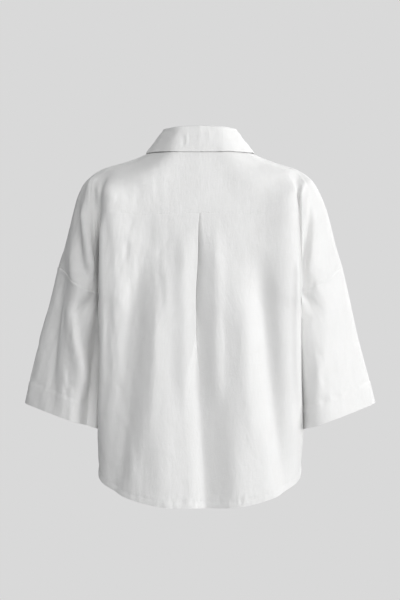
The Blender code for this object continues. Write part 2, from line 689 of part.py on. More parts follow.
def make_sleeve(name, side, material):
    """A closed tube from the armhole seam to the hem, which is turned in."""
    inner_back = np.array([0.0, 0.33, 0.67])
    arm = np.array([float(GROOVE)] + ARM_BACK_PLACES + RIDGE_PLACES + ARM_FRONT_PLACES
                   + [float(FRONT_GROOVE)])
    inner_front = np.array([-0.67, -0.33])
    hem = CUFF_ROW - SLEEVE_HEM / CUFF_ROW_LENGTH
    steps = [8, 8.35, 8.8, 9.3, 9.8, 10.3, 10.8, hem - 0.02, hem + 0.02, 11.7, 12]
    outer, inner = [], []
    for row in steps:
        parts = [skin("inner", inner_back, row, side), skin("arm", arm, row, side),
                 skin("inner", inner_front, row, side)]
        point = np.concatenate([p for p, _ in parts])
        normal = np.concatenate([n for _, n in parts])
        for k in (len(inner_back), len(inner_back) + len(arm) - 1):
            mean = normal[k - 1] + normal[k + 1]
            normal[k] = mean / np.linalg.norm(mean)
        thick = CLOTH + (TURNED if row > hem else 0)
        outer.append(point)
        inner.append(point - normal * thick)
    outer, inner = np.array(outer), np.array(inner)
    cells = np.ones((outer.shape[0] - 1, outer.shape[1]), bool)
    return wall(name, outer, inner, cells, True, material)


def collar_sections():
    """Stations from the wearer's left end round the neck to the right one."""
    table = np.array(COLLAR_STATIONS)
    column = {name: table_curve(table[:, 0], table[:, k])
              for k, name in enumerate(Collar._fields)}
    stops = np.concatenate([np.linspace(0, 12, 13)[1:], [12.7, 13.3, 13.85]])
    return column, stops


def make_collar(material):
    """One sheet: up from the neck seam, over the roll, and down to its free edge."""
    column, stops = collar_sections()
    outer, inner = [], []
    for side, places in ((1, stops[::-1]), (1, np.array([0.0])), (-1, stops)):
        seam, _ = skin("ring", places, 0.0, side)
        ahead, _ = skin("ring", places - 0.1, 0.0, side)
        behind, _ = skin("ring", np.minimum(places + 0.1, CENTRE_FRONT), 0.0, side)
        along = behind - ahead
        away = np.stack([along[:, 1], -along[:, 0], np.zeros(len(places))], axis=1)
        away *= -side
        away /= np.linalg.norm(away, axis=1)[:, None]
        edge, edge_normal = skin("ring", column["edge_place"](places),
                                 column["edge_row"](places), side)
        edge = edge + edge_normal * column["lift"](places)[:, None]
        up = np.array([0, 0, 1.0])
        stand, lean = column["stand"](places)[:, None], column["lean"](places)[:, None]
        top = seam + up * stand - away * lean
        centre = []
        for share in (0.02, 0.35, 0.7):
            centre.append(seam + (top - seam) * share)
        roll = top + away * COLLAR_ROLL
        for turn in (0.0, 0.33, 0.67, 1.0):
            angle = pi * turn
            centre.append(roll + away * (-cos(angle) * COLLAR_ROLL)
                          + up * (sin(angle) * COLLAR_ROLL))
        start = centre[-1]
        for share in (0.25, 0.5, 0.75, 1.0):
            swell = COLLAR_BULGE * sin(pi * share) * edge_normal
            centre.append(start + (edge - start) * share + swell)
        centre = np.array(centre)
        slope = np.gradient(centre, axis=0)
        normal = np.cross(slope, np.broadcast_to(along / np.linalg.norm(along, axis=1)[:, None],
                                                 slope.shape))
        normal *= -side
        normal /= np.linalg.norm(normal, axis=2)[:, :, None]
        outer.append(centre + normal * COLLAR_WALL / 2)
        inner.append(centre - normal * COLLAR_WALL / 2)
    outer, inner = np.concatenate(outer, axis=1), np.concatenate(inner, axis=1)
    cells = np.ones((outer.shape[0] - 1, outer.shape[1] - 1), bool)
    return wall("collar", outer, inner, cells, False, material)


def row_at_height(height):
    """Row at centre front for a height in millimetres."""
    rows = np.linspace(0, HEM_ROW, 281)
    heights = skin("trunk", np.full_like(rows, CENTRE_FRONT), rows)[0][:, 2]
    return float(np.interp(-height, -heights, rows))


def make_button(number, material):
    """A round button with a raised rim, flat against the upper front."""
    height = BUTTON_TOP_Z - BUTTON_STEP * (number - 1)
    row = row_at_height(height)
    point, normal = skin("trunk", np.array([float(CENTRE_FRONT)]), row, -1)
    centre, normal = point[0], normal[0]
    right = np.array([1.0, 0, 0])
    up = np.cross(normal, right)
    up *= np.sign(up[2])
    profile = [(0, 0), (BUTTON_RADIUS * 0.9, 0), (BUTTON_RADIUS, 0.8), (BUTTON_RADIUS, 1.8),
               (BUTTON_RADIUS * 0.85, BUTTON_WALL), (BUTTON_RADIUS * 0.62, 2.0), (0, 1.7)]
    mesh = bpy.data.meshes.new(f"button_{number}")
    shape = bmesh.new()
    rings = []
    for radius, high in profile:
        base = centre + normal * (BUTTON_LIFT + high)
        if radius == 0:
            rings.append([shape.verts.new(base * MM)])
            continue
        ring = []
        for k in range(BUTTON_SIDES):
            angle = 2 * pi * k / BUTTON_SIDES
            spot = base + radius * (cos(angle) * right + sin(angle) * up)
            ring.append(shape.verts.new(spot * MM))
        rings.append(ring)
    for low, high in zip(rings, rings[1:]):
        for k in range(BUTTON_SIDES):
            m = (k + 1) % BUTTON_SIDES
            loop = [low[k % len(low)], low[m % len(low)], high[m % len(high)], high[k % len(high)]]
            shape.faces.new(list(dict.fromkeys(loop)))
    bmesh.ops.recalc_face_normals(shape, faces=shape.faces)
    shape.to_mesh(mesh)
    shape.free()
    mesh.shade_smooth()
    mesh.set_sharp_from_angle(angle=pi / 4)
    mesh.materials.append(material)
    piece = bpy.data.objects.new(f"button_{number}", mesh)
    bpy.context.scene.collection.objects.link(piece)


def make_material(name, colour, roughness):
    material = bpy.data.materials.new(name)
    material.use_nodes = True
    shader = material.node_tree.nodes["Principled BSDF"]
    shader.inputs["Base Color"].default_value = (*colour, 1.0)
    shader.inputs["Roughness"].default_value = roughness
    shader.inputs["Metallic"].default_value = 0.0
    return material


def main():
    for old in list(bpy.data.objects):
        bpy.data.objects.remove(old, do_unlink=True)
    make_yoke(make_material("yoke_linen", LINEN, 0.85))
    make_back(make_material("back_linen", LINEN, 0.85))
    make_front("front_left", 1, make_material("front_left_linen", LINEN, 0.85))
    make_front("front_right", -1, make_material("front_right_linen", LINEN, 0.85))
    make_sleeve("sleeve_left", 1, make_material("sleeve_left_linen", LINEN, 0.85))
    make_sleeve("sleeve_right", -1, make_material("sleeve_right_linen", LINEN, 0.85))
    make_collar(make_material("collar_linen", LINEN, 0.85))
    for number in range(1, BUTTON_COUNT + 1):
        make_button(number, make_material(f"button_{number}_shell", SHELL, 0.35))


main()
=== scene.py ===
"""Looks of the cropped linen blouse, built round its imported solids.

Frame: +Z up, the front faces -Y and the back +Y, the wearer's left is +X. The tables are in
millimetres, and lengths turn into metres where a mesh is made.

The cloth is one smooth skin, given by key rows. A row is a ring round the garment, named by its
row number from 0 at the neckline to 8 at the armhole. Below that it divides: the trunk goes on
to row 14 at the hem, and each sleeve goes on to row 12 at its own hem.
Round a ring, a place number runs from 0 at centre back over 3 (the fold at the flank), 4 (the
groove between trunk and arm), 5 (the back of the arm) and 7 (the outside of the shoulder and
arm) to 10, 11 and 14 (centre front).
"""
from collections import namedtuple
from math import cos, pi, radians, sin

import bmesh
import bpy
import numpy as np
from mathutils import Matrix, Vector


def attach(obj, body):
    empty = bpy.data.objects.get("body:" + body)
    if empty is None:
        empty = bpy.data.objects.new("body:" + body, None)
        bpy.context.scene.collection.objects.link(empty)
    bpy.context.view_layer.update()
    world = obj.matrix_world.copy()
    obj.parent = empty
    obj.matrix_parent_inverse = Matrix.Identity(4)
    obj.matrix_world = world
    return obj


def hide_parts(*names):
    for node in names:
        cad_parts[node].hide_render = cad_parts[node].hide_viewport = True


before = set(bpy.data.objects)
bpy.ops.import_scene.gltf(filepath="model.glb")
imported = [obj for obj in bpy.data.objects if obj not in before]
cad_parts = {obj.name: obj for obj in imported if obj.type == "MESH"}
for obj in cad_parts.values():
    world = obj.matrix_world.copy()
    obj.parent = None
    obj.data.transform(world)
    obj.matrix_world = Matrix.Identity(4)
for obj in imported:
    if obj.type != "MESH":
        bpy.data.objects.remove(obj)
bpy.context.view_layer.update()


MM = 0.001

# Cloth and seams
WALL = 0.6                  # one layer of the linen as shown
HEM_WALL = 1.1              # two layers at a hem
UNDERARM_EASE = 0.4         # trunk and sleeve each give way by this much under the arm
FRONT_STEP = 1.6            # the under front lies this far inside the upper one
LAP = 15.0                  # each front runs this far past centre front
LAP_FADE = 22.0             # beside the lap, the under front comes up to its own level in this
BODY_HEM = 8.0              # depth of the stitched hem of the body
SLEEVE_HEM = 33.0           # and of each sleeve
HEM_LENGTHS = (69.0, 37.0)  # from row 13 to 14 down the trunk, at the centre and at the side
CUFF_ROW_LENGTH = 53.0      # from row 11 to row 12 down a sleeve

# Rows of the ring where pieces end
ARMHOLE_ROW = 8
UNDERARM_ROW = 9
HEM_ROW = 14
CUFF_ROW = 12

# Places round the ring
FLANK, GROOVE, OUTSIDE, FRONT_GROOVE, CENTRE_FRONT = 3, 4, 7, 10, 14
YOKE_END_BACK = 5.8         # where the back yoke seam meets the armhole
YOKE_END_FRONT = 7.55       # the front yoke seam, just in front of the shoulder ridge

Upper = namedtuple("Upper", "back_z back_y front_z front_y fold_x fold_y groove_x groove_y "
                            "arm_x arm_y out_x out_z rise_x")
UPPER_ROWS = [              # neckline to armhole; rise_x is where a row starts to climb
    Upper(6, 60, -70, -74, 52, 40, 61, 26, 66, 14, 68, 3, 0),
    Upper(-10, 71, -84, -88, 68, 48, 80, 32, 87, 17, 91, -9, 8),
    Upper(-36, 86, -98, -99, 93, 60, 109, 42, 117, 23, 122.5, -22, 25),
    Upper(-70, 99, -113, -109, 138, 69, 151, 50, 158.5, 33, 163, -36, 50),
    Upper(-105, 108, -130, -117, 154, 97, 163.5, 64, 177, 62, 188, -56, 82),
    Upper(-140, 112, -152, -122, 155, 101, 163.5, 52, 178, 70, 204, -88, 112),
    Upper(-172, 114, -178, -125, 155.5, 103, 163.5, 44, 177, 75, 214, -121, 138),
    Upper(-204, 115.5, -206, -126, 155.5, 104, 163, 38, 177, 78, 223, -158, 156),
    Upper(-236, 117, -236, -126, 155, 104, 162.5, 34, 178, 79, 234, -193, 165),
]
RISE_POWER = 1.4            # how late a row climbs to the shoulder

# Plan of a ring from centre to flank: shares of the fold's x, and of the depth past the fold's y
PLAN_X = (0.0, 0.36, 0.72, 1.0)
PLAN_DEPTH = (1.0, 0.98, 0.85, 0.0)
FRONT_DEPTH = 0.97          # the flank folds lie this much nearer the middle in front
CAP_X, CAP_Y = 0.72, 0.66   # the point between the back of the arm and its outside

Trunk = namedtuple("Trunk", "back_z back_y front_z front_y fold_x fold_y press_x press_y "
                            "side_x side_z")
TRUNK_ROWS = [              # underarm to hem; press is the cloth pushed in by the sleeve
    Trunk(-266, 118, -266, -126, 154.5, 103, 156.5, 34, 150, -264),
    Trunk(-303, 119, -301, -126, 154.5, 102, 155, 34, 146, -298),
    Trunk(-370, 120.5, -366, -125, 155.5, 97, 157, 33, 147, -358),
    Trunk(-438, 122, -430, -124, 160.5, 82, 161, 30, 153, -414),
    Trunk(-511, 124, -496, -123, 164, 66, 163.5, 28, 159, -466),
    Trunk(-580, 125, -560, -122, 163.5, 58, 163, 27, 161, -503),
]
HEM_CLIMB = (0.0, 0.02, 0.20, 0.58, 0.85)   # share of a row's climb to the side, at each point

Sleeve = namedtuple("Sleeve", "in_x in_z out_x out_z back_y front_y")
SLEEVE_ROWS = [             # each ring runs from its inner point to its outer one
    Sleeve(153.5, -300, 247, -247, 78, 71),
    Sleeve(157.5, -350, 260, -306, 76, 72),
    Sleeve(161.5, -403, 274, -359, 77, 73),
    Sleeve(165.5, -458, 288, -416, 78, 74),
]
SLEEVE_PLAN = ((0.15, 0.98), (0.52, 1.0), (0.83, 0.66))     # share across, share of the depth

# The back yoke seam: row number at each place round the ring
YOKE_SEAM = ((0.0, 4.12), (1.0, 4.16), (2.0, 4.32), (3.0, 4.75), (4.0, 5.45), (5.0, 6.75),
             (5.8, 7.82), (7.0, 7.2), (9.0, 5.2), (11.0, 4.4), (14.0, 4.1))

Fold = namedtuple("Fold", "depth width top_x top_z mid_x mid_z low_x low_z")
BACK_FOLDS = [              # soft troughs are negative depths, ridges positive ones
    Fold(-13.0, 18, 95, -165, 111, -350, 150, -610),
    Fold(4.5, 13, 24, -116, 26, -240, 24, -430),
    Fold(6.5, 28, 50, -170, 62, -330, 58, -640),
    Fold(2.5, 13, 76, -240, 74, -330, 88, -500),
    Fold(-2.5, 7, -35, -112, -38, -150, -40, -192),
    Fold(-2.6, 16, -86, -106, -108, -200, -121, -330),
    Fold(-1.8, 17, -118, -310, -116, -430, -112, -535),
    Fold(2.2, 17, -54, -220, -56, -380, -62, -570),
]
FRONT_FOLDS = [
    Fold(-7.0, 16, 92, -170, 84, -300, 96, -540),
    Fold(4.0, 13, 118, -230, 124, -350, 122, -520),
    Fold(-6.0, 15, -84, -160, -98, -290, -88, -540),
    Fold(3.5, 13, -122, -240, -126, -360, -120, -520),
    Fold(-3.5, 12, 50, -260, 46, -380, 54, -545),
    Fold(-3.5, 12, -48, -300, -54, -420, -50, -548),
]
SLEEVE_FOLDS = [            # x is the place round the ring, z the row
    Fold(6.5, 0.24, 5.60, 4.6, 5.20, 6.2, 4.85, 7.6),
    Fold(-6.0, 0.26, 6.05, 4.9, 5.60, 6.5, 5.25, 8.1),
    Fold(11.0, 0.33, 6.05, 6.2, 5.12, 8.9, 3.60, 12.2),
    Fold(-10.0, 0.34, 6.28, 7.2, 5.98, 9.5, 5.10, 12.4),
    Fold(4.0, 0.26, 6.70, 9.0, 6.55, 10.4, 6.15, 12.9),
    Fold(-5.0, 0.34, 8.9, 6.6, 8.6, 8.4, 8.3, 10.4),
    Fold(3.5, 0.30, 8.2, 7.4, 8.0, 9.0, 7.8, 10.8),
]

# Pairs of values hold the wearer's left side first and the right second.
SLEEVE_FOLD_SHARES = (1.0, 0.3)     # how much of the sleeve folds each arm shows
GROOVE_FILLS = (13.0, 38.0)         # how far the groove behind each arm is filled out
SLEEVE_FILLS = (-27.0, 14.0)        # and the corner of each sleeve beside the trunk
CORNER_WIDTHS = (0.30, 0.9)         # of that corner, in places
FILL_WIDTH = 0.6                    # of the filled groove, in places

# Where a form comes in or fades, as the row or place where it starts and how long that takes
TRUNK_EDGE = (2.9, 1.0)             # place where the folds of the trunk end
FOLD_ROWS = (3.5, 2)                # row where they start
FILL_ROWS = (3.4, 0.9)              # the filled groove starts
SWELL_ROWS = (6.5, 1.5)             # and is a little fuller near the armhole,
FILL_SWELL = 0.18                   # by this share
SLEEVE_FILL_ROWS = (ARMHOLE_ROW, 0.9)   # it ends on the sleeve
CORNER_ROWS = (ARMHOLE_ROW, 1.6)        # where the sleeve's corner comes in
FOLD_REACHES = (0.25, 0.3)          # share of a fold's length over which it fades: trunk, sleeve
FOLD_OVERRUN = 0.02                 # a fold runs on by this share past its ends

# Pleat at centre back, from the yoke seam down: the two edges of its opening
Pleat = namedtuple("Pleat", "z left_x right_x fall hollow")
PLEAT_ROWS = [              # the underlay sinks towards its left edge by fall, late if hollow
    Pleat(-106, 0.8, -0.8, 0.38, 2.2), Pleat(-128, 2.8, -3.0, 0.38, 2.2),
    Pleat(-182, 3.9, -13.0, 0.34, 2.5), Pleat(-247, 7.0, -21.5, 0.24, 3.3),
    Pleat(-312, 5.6, -32.0, 0.21, 2.4), Pleat(-380, 2.4, -36.5, 0.18, 1.5),
    Pleat(-446, -0.8, -45.5, 0.18, 1.15), Pleat(-511, -5.6, -52.0, 0.20, 1.05),
    Pleat(-590, -10.5, -55.0, 0.22, 1.0),
]
PLEAT_CLOTH = 78.0          # width of cloth folded away
PLEAT_SIDE = 1.6            # places on each side whose columns give way to the pleat

Collar = namedtuple("Collar", "place stand lean edge_place edge_row lift")
COLLAR_STATIONS = [         # lean is inwards; lift holds the fall's edge off the cloth below
    Collar(0.0, 25.5, 3.5, 0.0, 0.95, 3.6),
    Collar(2.0, 25.5, 6.5, 2.0, 0.94, 3.6),
    Collar(4.5, 26, 11.0, 4.4, 0.90, 3.6),
    Collar(7.0, 27, 14.0, 7.0, 0.86, 3.6),
    Collar(9.5, 27, 9.0, 9.2, 1.15, 4.2),
    Collar(12.0, 25, 4.5, 11.2, 2.15, 4.8),
    Collar(13.85, 22, 2.0, 12.5, 3.15, 5.2),
]
COLLAR_ROLL = 3.2           # radius of the roll at the top
COLLAR_BULGE = 0.4          # how far the fall swells outwards

BUTTON_COUNT = 5
BUTTON_TOP_Z = -92.0
BUTTON_STEP = 90.0
BUTTON_LIFT = 0.5           # air between a button and the front it lies on


# ---------------------------------------------------------------- curves

def ring_spline(points):
    """Closed smooth curve through points (n, 3); returns a function of the point number."""
    count = len(points)
    step = np.linalg.norm(np.roll(points, -1, axis=0) - points, axis=1)
    before = np.roll(step, 1)
    system = np.zeros((count, count))
    right = np.zeros((count, 3))
    for i in range(count):
        j, k = (i - 1) % count, (i + 1) % count
        system[i, j] += before[i]
        system[i, i] += 2 * (before[i] + step[i])
        system[i, k] += step[i]
        right[i] = 6 * ((points[k] - points[i]) / step[i] - (points[i] - points[j]) / before[i])
    bend = np.linalg.solve(system, right)

    def at(number):
        number = np.mod(np.asarray(number, float), count)
        i = np.minimum(number.astype(int), count - 1)
        k = (i + 1) % count
        t = (number - i)[:, None]
        h = step[i][:, None]
        line = points[i] * (1 - t) + points[k] * t
        return line + h * h / 6 * (((1 - t) ** 3 - (1 - t)) * bend[i] + (t ** 3 - t) * bend[k])
    return at


def gentle_slopes(rise):
    """Slopes at the points of a table, from the rise between them, that never overshoot."""
    before, after = rise[:-1], rise[1:]
    same = before * after > 0
    inside = np.where(same, 2 * before * after / np.where(same, before + after, 1.0), 0.0)
    return np.concatenate([rise[:1], inside, rise[-1:]])


def eased(t, start, end, leaving, arriving):
    """Smooth way from start to end at the shares t, with its slope at each end."""
    return ((1 + 2 * t) * (1 - t) ** 2 * start + t * (1 - t) ** 2 * leaving
            + t * t * (3 - 2 * t) * end + t * t * (t - 1) * arriving)


def between_rows(keys, row):
    """Point at a row number on each column of keys (rows, columns, 3)."""
    row = np.clip(row, 0, len(keys) - 1)
    i = np.minimum(row.astype(int), len(keys) - 2)
    slopes = gentle_slopes(np.diff(keys, axis=0))
    column = np.arange(keys.shape[1])
    return eased((row - i)[:, None], keys[i, column], keys[i + 1, column],
                 slopes[i, column], slopes[i + 1, column])


def table_curve(xs, ys):
    """Smooth function through a table, flat at its turning points."""
    xs, ys = np.asarray(xs, float), np.asarray(ys, float)
    gaps = np.diff(xs)
    slopes = gentle_slopes(np.diff(ys) / gaps)

    def at(x):
        x = np.clip(np.asarray(x, float), xs[0], xs[-1])
        i = np.clip(np.searchsorted(xs, x, side="right") - 1, 0, len(gaps) - 1)
        return eased((x - xs[i]) / gaps[i], ys[i], ys[i + 1],
                     gaps[i] * slopes[i], gaps[i] * slopes[i + 1])
    return at


def smooth(t):
    t = np.clip(t, 0.0, 1.0)
    return t * t * (3 - 2 * t)


def rises(value, start, length):
    """Share that grows from 0 at start to 1 a length further on."""
    return smooth((value - start) / length)


def falls(value, start, length):
    """Share that sinks from 1 at start to 0 a length further on."""
    return 1 - rises(value, start, length)


def ridge(away, width):
    """Bell-shaped share: 1 in the middle, and nearly 0 two widths away."""
    return np.exp(-(away / width) ** 2)


def by_hand(hand, pair):
    """The pair's first value on the wearer's left, and its second on the right."""
    return np.where(hand > 0, *pair)


# ---------------------------------------------------------------- the skin

def centre_plan(row, front):
    """Plan points (x, y) of a ring from its centre to the fold at the flank."""
    deep = abs(row.front_y) if front else row.back_y
    fold = row.fold_y * (FRONT_DEPTH if front else 1.0)
    way = -1 if front else 1
    return [(row.fold_x * share, way * (fold + (deep - fold) * depth))
            for share, depth in zip(PLAN_X, PLAN_DEPTH)]


def whole_ring(back, middle, front):
    """Closed curve from the left half's points: back, the outermost one, and front."""
    side = back + [middle] + front[::-1]
    other = [(-x, y, z) for x, y, z in side[1:-1][::-1]]
    return ring_spline(np.array(side + other))


def upper_ring(row):
    """Points 0 to 27 round a whole ring above the armhole."""
    def half(front):
        way = -FRONT_DEPTH if front else 1.0
        low_z = row.front_z if front else row.back_z
        plan = centre_plan(row, front)
        plan += [(row.groove_x, way * row.groove_y), (row.arm_x, way * row.arm_y),
                 (row.arm_x + CAP_X * (row.out_x - row.arm_x), way * CAP_Y * row.arm_y)]
        points = []
        for x, y in plan:
            share = np.clip((x - row.rise_x) / (row.out_x - row.rise_x), 0, 1) ** RISE_POWER
            points.append((x, y, low_z + (row.out_z - low_z) * share))
        return points

    return whole_ring(half(False), (row.out_x, 0.0, row.out_z), half(True))


def trunk_ring(row):
    """Points 0 to 19 round a ring below the underarm: 5 is the side seam, 10 centre front."""
    def half(front):
        way = -FRONT_DEPTH if front else 1.0
        low_z = row.front_z if front else row.back_z
        plan = centre_plan(row, front) + [(row.press_x, way * row.press_y)]
        return [(x, y, low_z + (row.side_z - low_z) * climb)
                for (x, y), climb in zip(plan, HEM_CLIMB)]

    return whole_ring(half(False), (row.side_x, 0.0, row.side_z), half(True))


def sleeve_ring(row):
    """Points 0 to 7 round a sleeve: 0 is the inside, 4 the outside, 1 to 3 the back."""
    def place(share, y):
        return (row.in_x + share * (row.out_x - row.in_x), y,
                row.in_z + share * (row.out_z - row.in_z))

    back = [place(share, depth * row.back_y) for share, depth in SLEEVE_PLAN]
    front = [place(share, -depth * row.front_y) for share, depth in SLEEVE_PLAN[::-1]]
    return ring_spline(np.array([place(0, 0)] + back + [place(1, 0)] + front))


UPPER_CURVES = [upper_ring(row) for row in UPPER_ROWS]
TRUNK_CURVES = [trunk_ring(row) for row in TRUNK_ROWS]
SLEEVE_CURVES = [sleeve_ring(row) for row in SLEEVE_ROWS]


TRUNK_FRONT = 10            # number of centre front round a trunk ring


def trunk_keys(place):
    """Key points of the trunk's columns, at places 0 to 4 and 10 to 14."""
    back = place <= GROOVE
    near = np.where(back, place, CENTRE_FRONT - place)
    lower = np.where(near <= FLANK, near, FLANK + 2 * (near - FLANK))
    lower = np.where(back, lower, TRUNK_FRONT - lower)
    return np.array([curve(place) for curve in UPPER_CURVES]
                    + [curve(lower) for curve in TRUNK_CURVES])


def arm_keys(place):
    """Key points of the shoulder and sleeve columns, at places 4 to 10."""
    return np.array([curve(place) for curve in UPPER_CURVES]
                    + [curve(place - GROOVE + 1) for curve in SLEEVE_CURVES])


def base_trunk(place, row):
    return between_rows(trunk_keys(place), row)


def base_arm(place, row):
    return between_rows(arm_keys(place), row)


def base_inner(place, row):
    """Inner side of the sleeve. Place -1 to 1 goes from the front groove over the underarm
    seam to the back groove; the row runs from 8 at the armhole to 12."""
    groove = np.where(place >= 0, GROOVE, FRONT_GROOVE).astype(float)
    edge = base_trunk(groove, UNDERARM_ROW - np.abs(place))
    keys = np.array([edge] + [curve(place) for curve in SLEEVE_CURVES])
    return between_rows(keys, row - ARMHOLE_ROW)


def in_arm(place):
    return (place >= GROOVE) & (place <= FRONT_GROOVE)


def base_ring(place, row):
    """Whole ring above the armhole: trunk and arm columns side by side."""
    trunk = base_trunk(np.where(in_arm(place), GROOVE, place), row)
    arm = base_arm(np.clip(place, GROOVE, FRONT_GROOVE), row)
    return np.where(in_arm(place)[:, None], arm, trunk)


BASE = {"ring": base_ring, "trunk": base_trunk, "arm": base_arm, "inner": base_inner}
STEP = 0.02                 # step in places and rows for taking slopes


def fold_shift(folds, x, z, reach):
    """Sum of soft troughs and ridges; each follows a bent line and fades at its ends."""
    total = np.zeros_like(x)
    for fold in folds:
        run = (z - fold.top_z) / (fold.low_z - fold.top_z)
        middle = (fold.mid_z - fold.top_z) / (fold.low_z - fold.top_z)
        line = table_curve((0, middle, 1), (fold.top_x, fold.mid_x, fold.low_x))
        fade = rises(run, -FOLD_OVERRUN, reach) * rises(-run, -1 - FOLD_OVERRUN, reach)
        total += fold.depth * ridge(x - line(run), fold.width) * fade
    return total


def from_centre(place):
    """Places counted from centre back behind, and from centre front before."""
    return np.where(place <= OUTSIDE, place, CENTRE_FRONT - place)


def fold_out(kind, place, row, hand, point):
    """How far the folds push the cloth out. hand is 1 on the wearer's left, -1 on the right."""
    if kind == "inner":
        return np.zeros_like(place)
    x, z = point[:, 0] * hand, point[:, 2]
    trunk = falls(from_centre(place), *TRUNK_EDGE) * rises(row, *FOLD_ROWS)
    trunk = trunk * np.where(place <= OUTSIDE, fold_shift(BACK_FOLDS, x, z, FOLD_REACHES[0]),
                             fold_shift(FRONT_FOLDS, x, z, FOLD_REACHES[0]))
    if kind == "trunk":
        return trunk
    arm = rises(place, GROOVE + STEP, 0.4) * rises(-place, STEP - FRONT_GROOVE, 0.4)
    arm = arm * (fold_shift(SLEEVE_FOLDS, place, row, FOLD_REACHES[1])
                 * by_hand(hand, SLEEVE_FOLD_SHARES))
    return arm if kind == "arm" else np.where(in_arm(place), arm, trunk)


def groove_fill(kind, place, row, hand):
    """How much shallower than the plan the groove behind each arm is."""
    around = place
    armhole = row if kind == "trunk" else np.minimum(row, ARMHOLE_ROW)
    if kind == "inner":
        around = np.where(place > 0, GROOVE, FRONT_GROOVE)
        armhole = np.where(place > 0, UNDERARM_ROW - place, UNDERARM_ROW)
    groove = by_hand(hand, GROOVE_FILLS) * ridge(around - GROOVE, FILL_WIDTH)
    groove = groove * rises(armhole, *FILL_ROWS) * falls(armhole, ARMHOLE_ROW, 1)
    groove = groove * (1 + FILL_SWELL * rises(armhole, *SWELL_ROWS))
    if kind in ("ring", "trunk"):
        return groove
    away = 1 - place if kind == "inner" else place - GROOVE
    corner = by_hand(hand, SLEEVE_FILLS) * ridge(away, by_hand(hand, CORNER_WIDTHS))
    return groove * falls(row, *SLEEVE_FILL_ROWS) + corner * rises(row, *CORNER_ROWS)


def filled(kind, place, row, hand):
    """Points of the skin before its folds."""
    point = BASE[kind](place, row)
    point[:, 1] += groove_fill(kind, place, row, hand)
    return point


def outward(kind, place, row, hand):
    """Unit normals of the skin before its folds."""
    low_place, high_place = place - STEP, place + STEP
    low_row, high_row = row - STEP, row + STEP
    if kind == "ring":
        low_place = np.maximum(low_place, 0)
        at_groove = (place == GROOVE) | (place == FRONT_GROOVE)
        high_row = np.where(at_groove, np.minimum(high_row, ARMHOLE_ROW), high_row)
    if kind == "trunk":
        back = place <= OUTSIDE
        low_place = np.where(back, np.maximum(low_place, 0),
                             np.maximum(low_place, FRONT_GROOVE))
        high_place = np.where(back, np.minimum(high_place, GROOVE), high_place)
    if kind == "arm":
        low_place = np.maximum(low_place, GROOVE)
        high_place = np.minimum(high_place, FRONT_GROOVE)
    if kind == "inner":
        low_place, high_place = np.maximum(low_place, -1), np.minimum(high_place, 1)
        low_row = np.maximum(low_row, ARMHOLE_ROW)
    high_place = np.minimum(high_place, CENTRE_FRONT)
    along = filled(kind, high_place, row, hand) - filled(kind, low_place, row, hand)
    at_centre = (place <= 0) | (place >= CENTRE_FRONT)
    if kind in ("ring", "trunk"):
        along[at_centre, 1:] = 0
    down = filled(kind, place, high_row, hand) - filled(kind, place, low_row, hand)
    normal = np.cross(along, down)
    return normal / np.linalg.norm(normal, axis=1)[:, None]


def armpit_ease(kind, place, row):
    """Extra inset beside the underarm, where trunk and sleeve hang face to face."""
    near = from_centre(place)
    if kind == "inner":
        return UNDERARM_EASE * falls(row, ARMHOLE_ROW + 1, 1.5)
    if kind == "trunk":
        return UNDERARM_EASE * rises(near, 3.2, 0.6) * falls(row, 9.5, 1.5)
    if kind == "arm":
        return UNDERARM_EASE * falls(near, GROOVE, 0.6) * rises(row, 7.9, 0.3)
    return np.zeros_like(place)


def addressed(kind, place, row, side):
    """Flat lists of places, rows, hands and mirrors, and the shape they had.

    side is 1 for the wearer's left and -1 for the right, which mirrors it but for the folds.
    Places past 14 or below 0 go over to the other side."""
    shape = np.broadcast(place, row).shape
    place = np.broadcast_to(np.asarray(place, float), shape).ravel()
    row = np.broadcast_to(np.asarray(row, float), shape).ravel()
    hand = np.full_like(place, side)
    if kind in ("ring", "trunk"):
        hand = np.where((place < 0) | (place > CENTRE_FRONT), -side, side)
        place = np.where(place > CENTRE_FRONT, 2 * CENTRE_FRONT - place, np.abs(place))
    mirror = np.stack([hand, np.ones_like(hand), np.ones_like(hand)], axis=1)
    return place, row, hand, mirror, shape


def skin(kind, place, row, side=1, inset=0.0):
    """Outer face of the cloth with its large folds: points and outward normals in
    millimetres. inset moves the face inwards."""
    place, row, hand, mirror, shape = addressed(kind, place, row, side)
    point = filled(kind, place, row, hand)
    normal = outward(kind, place, row, hand)
    out = fold_out(kind, place, row, hand, point * mirror) - armpit_ease(kind, place, row)
    out = out - np.broadcast_to(np.asarray(inset, float), shape).ravel()
    point = point + normal * out[:, None]
    return (point * mirror).reshape(shape + (3,)), (normal * mirror).reshape(shape + (3,))


def yoke_seam(place):
    return table_curve(*zip(*YOKE_SEAM))(place)


# ---------------------------------------------------------------- creases

Crease = namedtuple("Crease", "depth width skew from_x from_z to_x to_z bow")

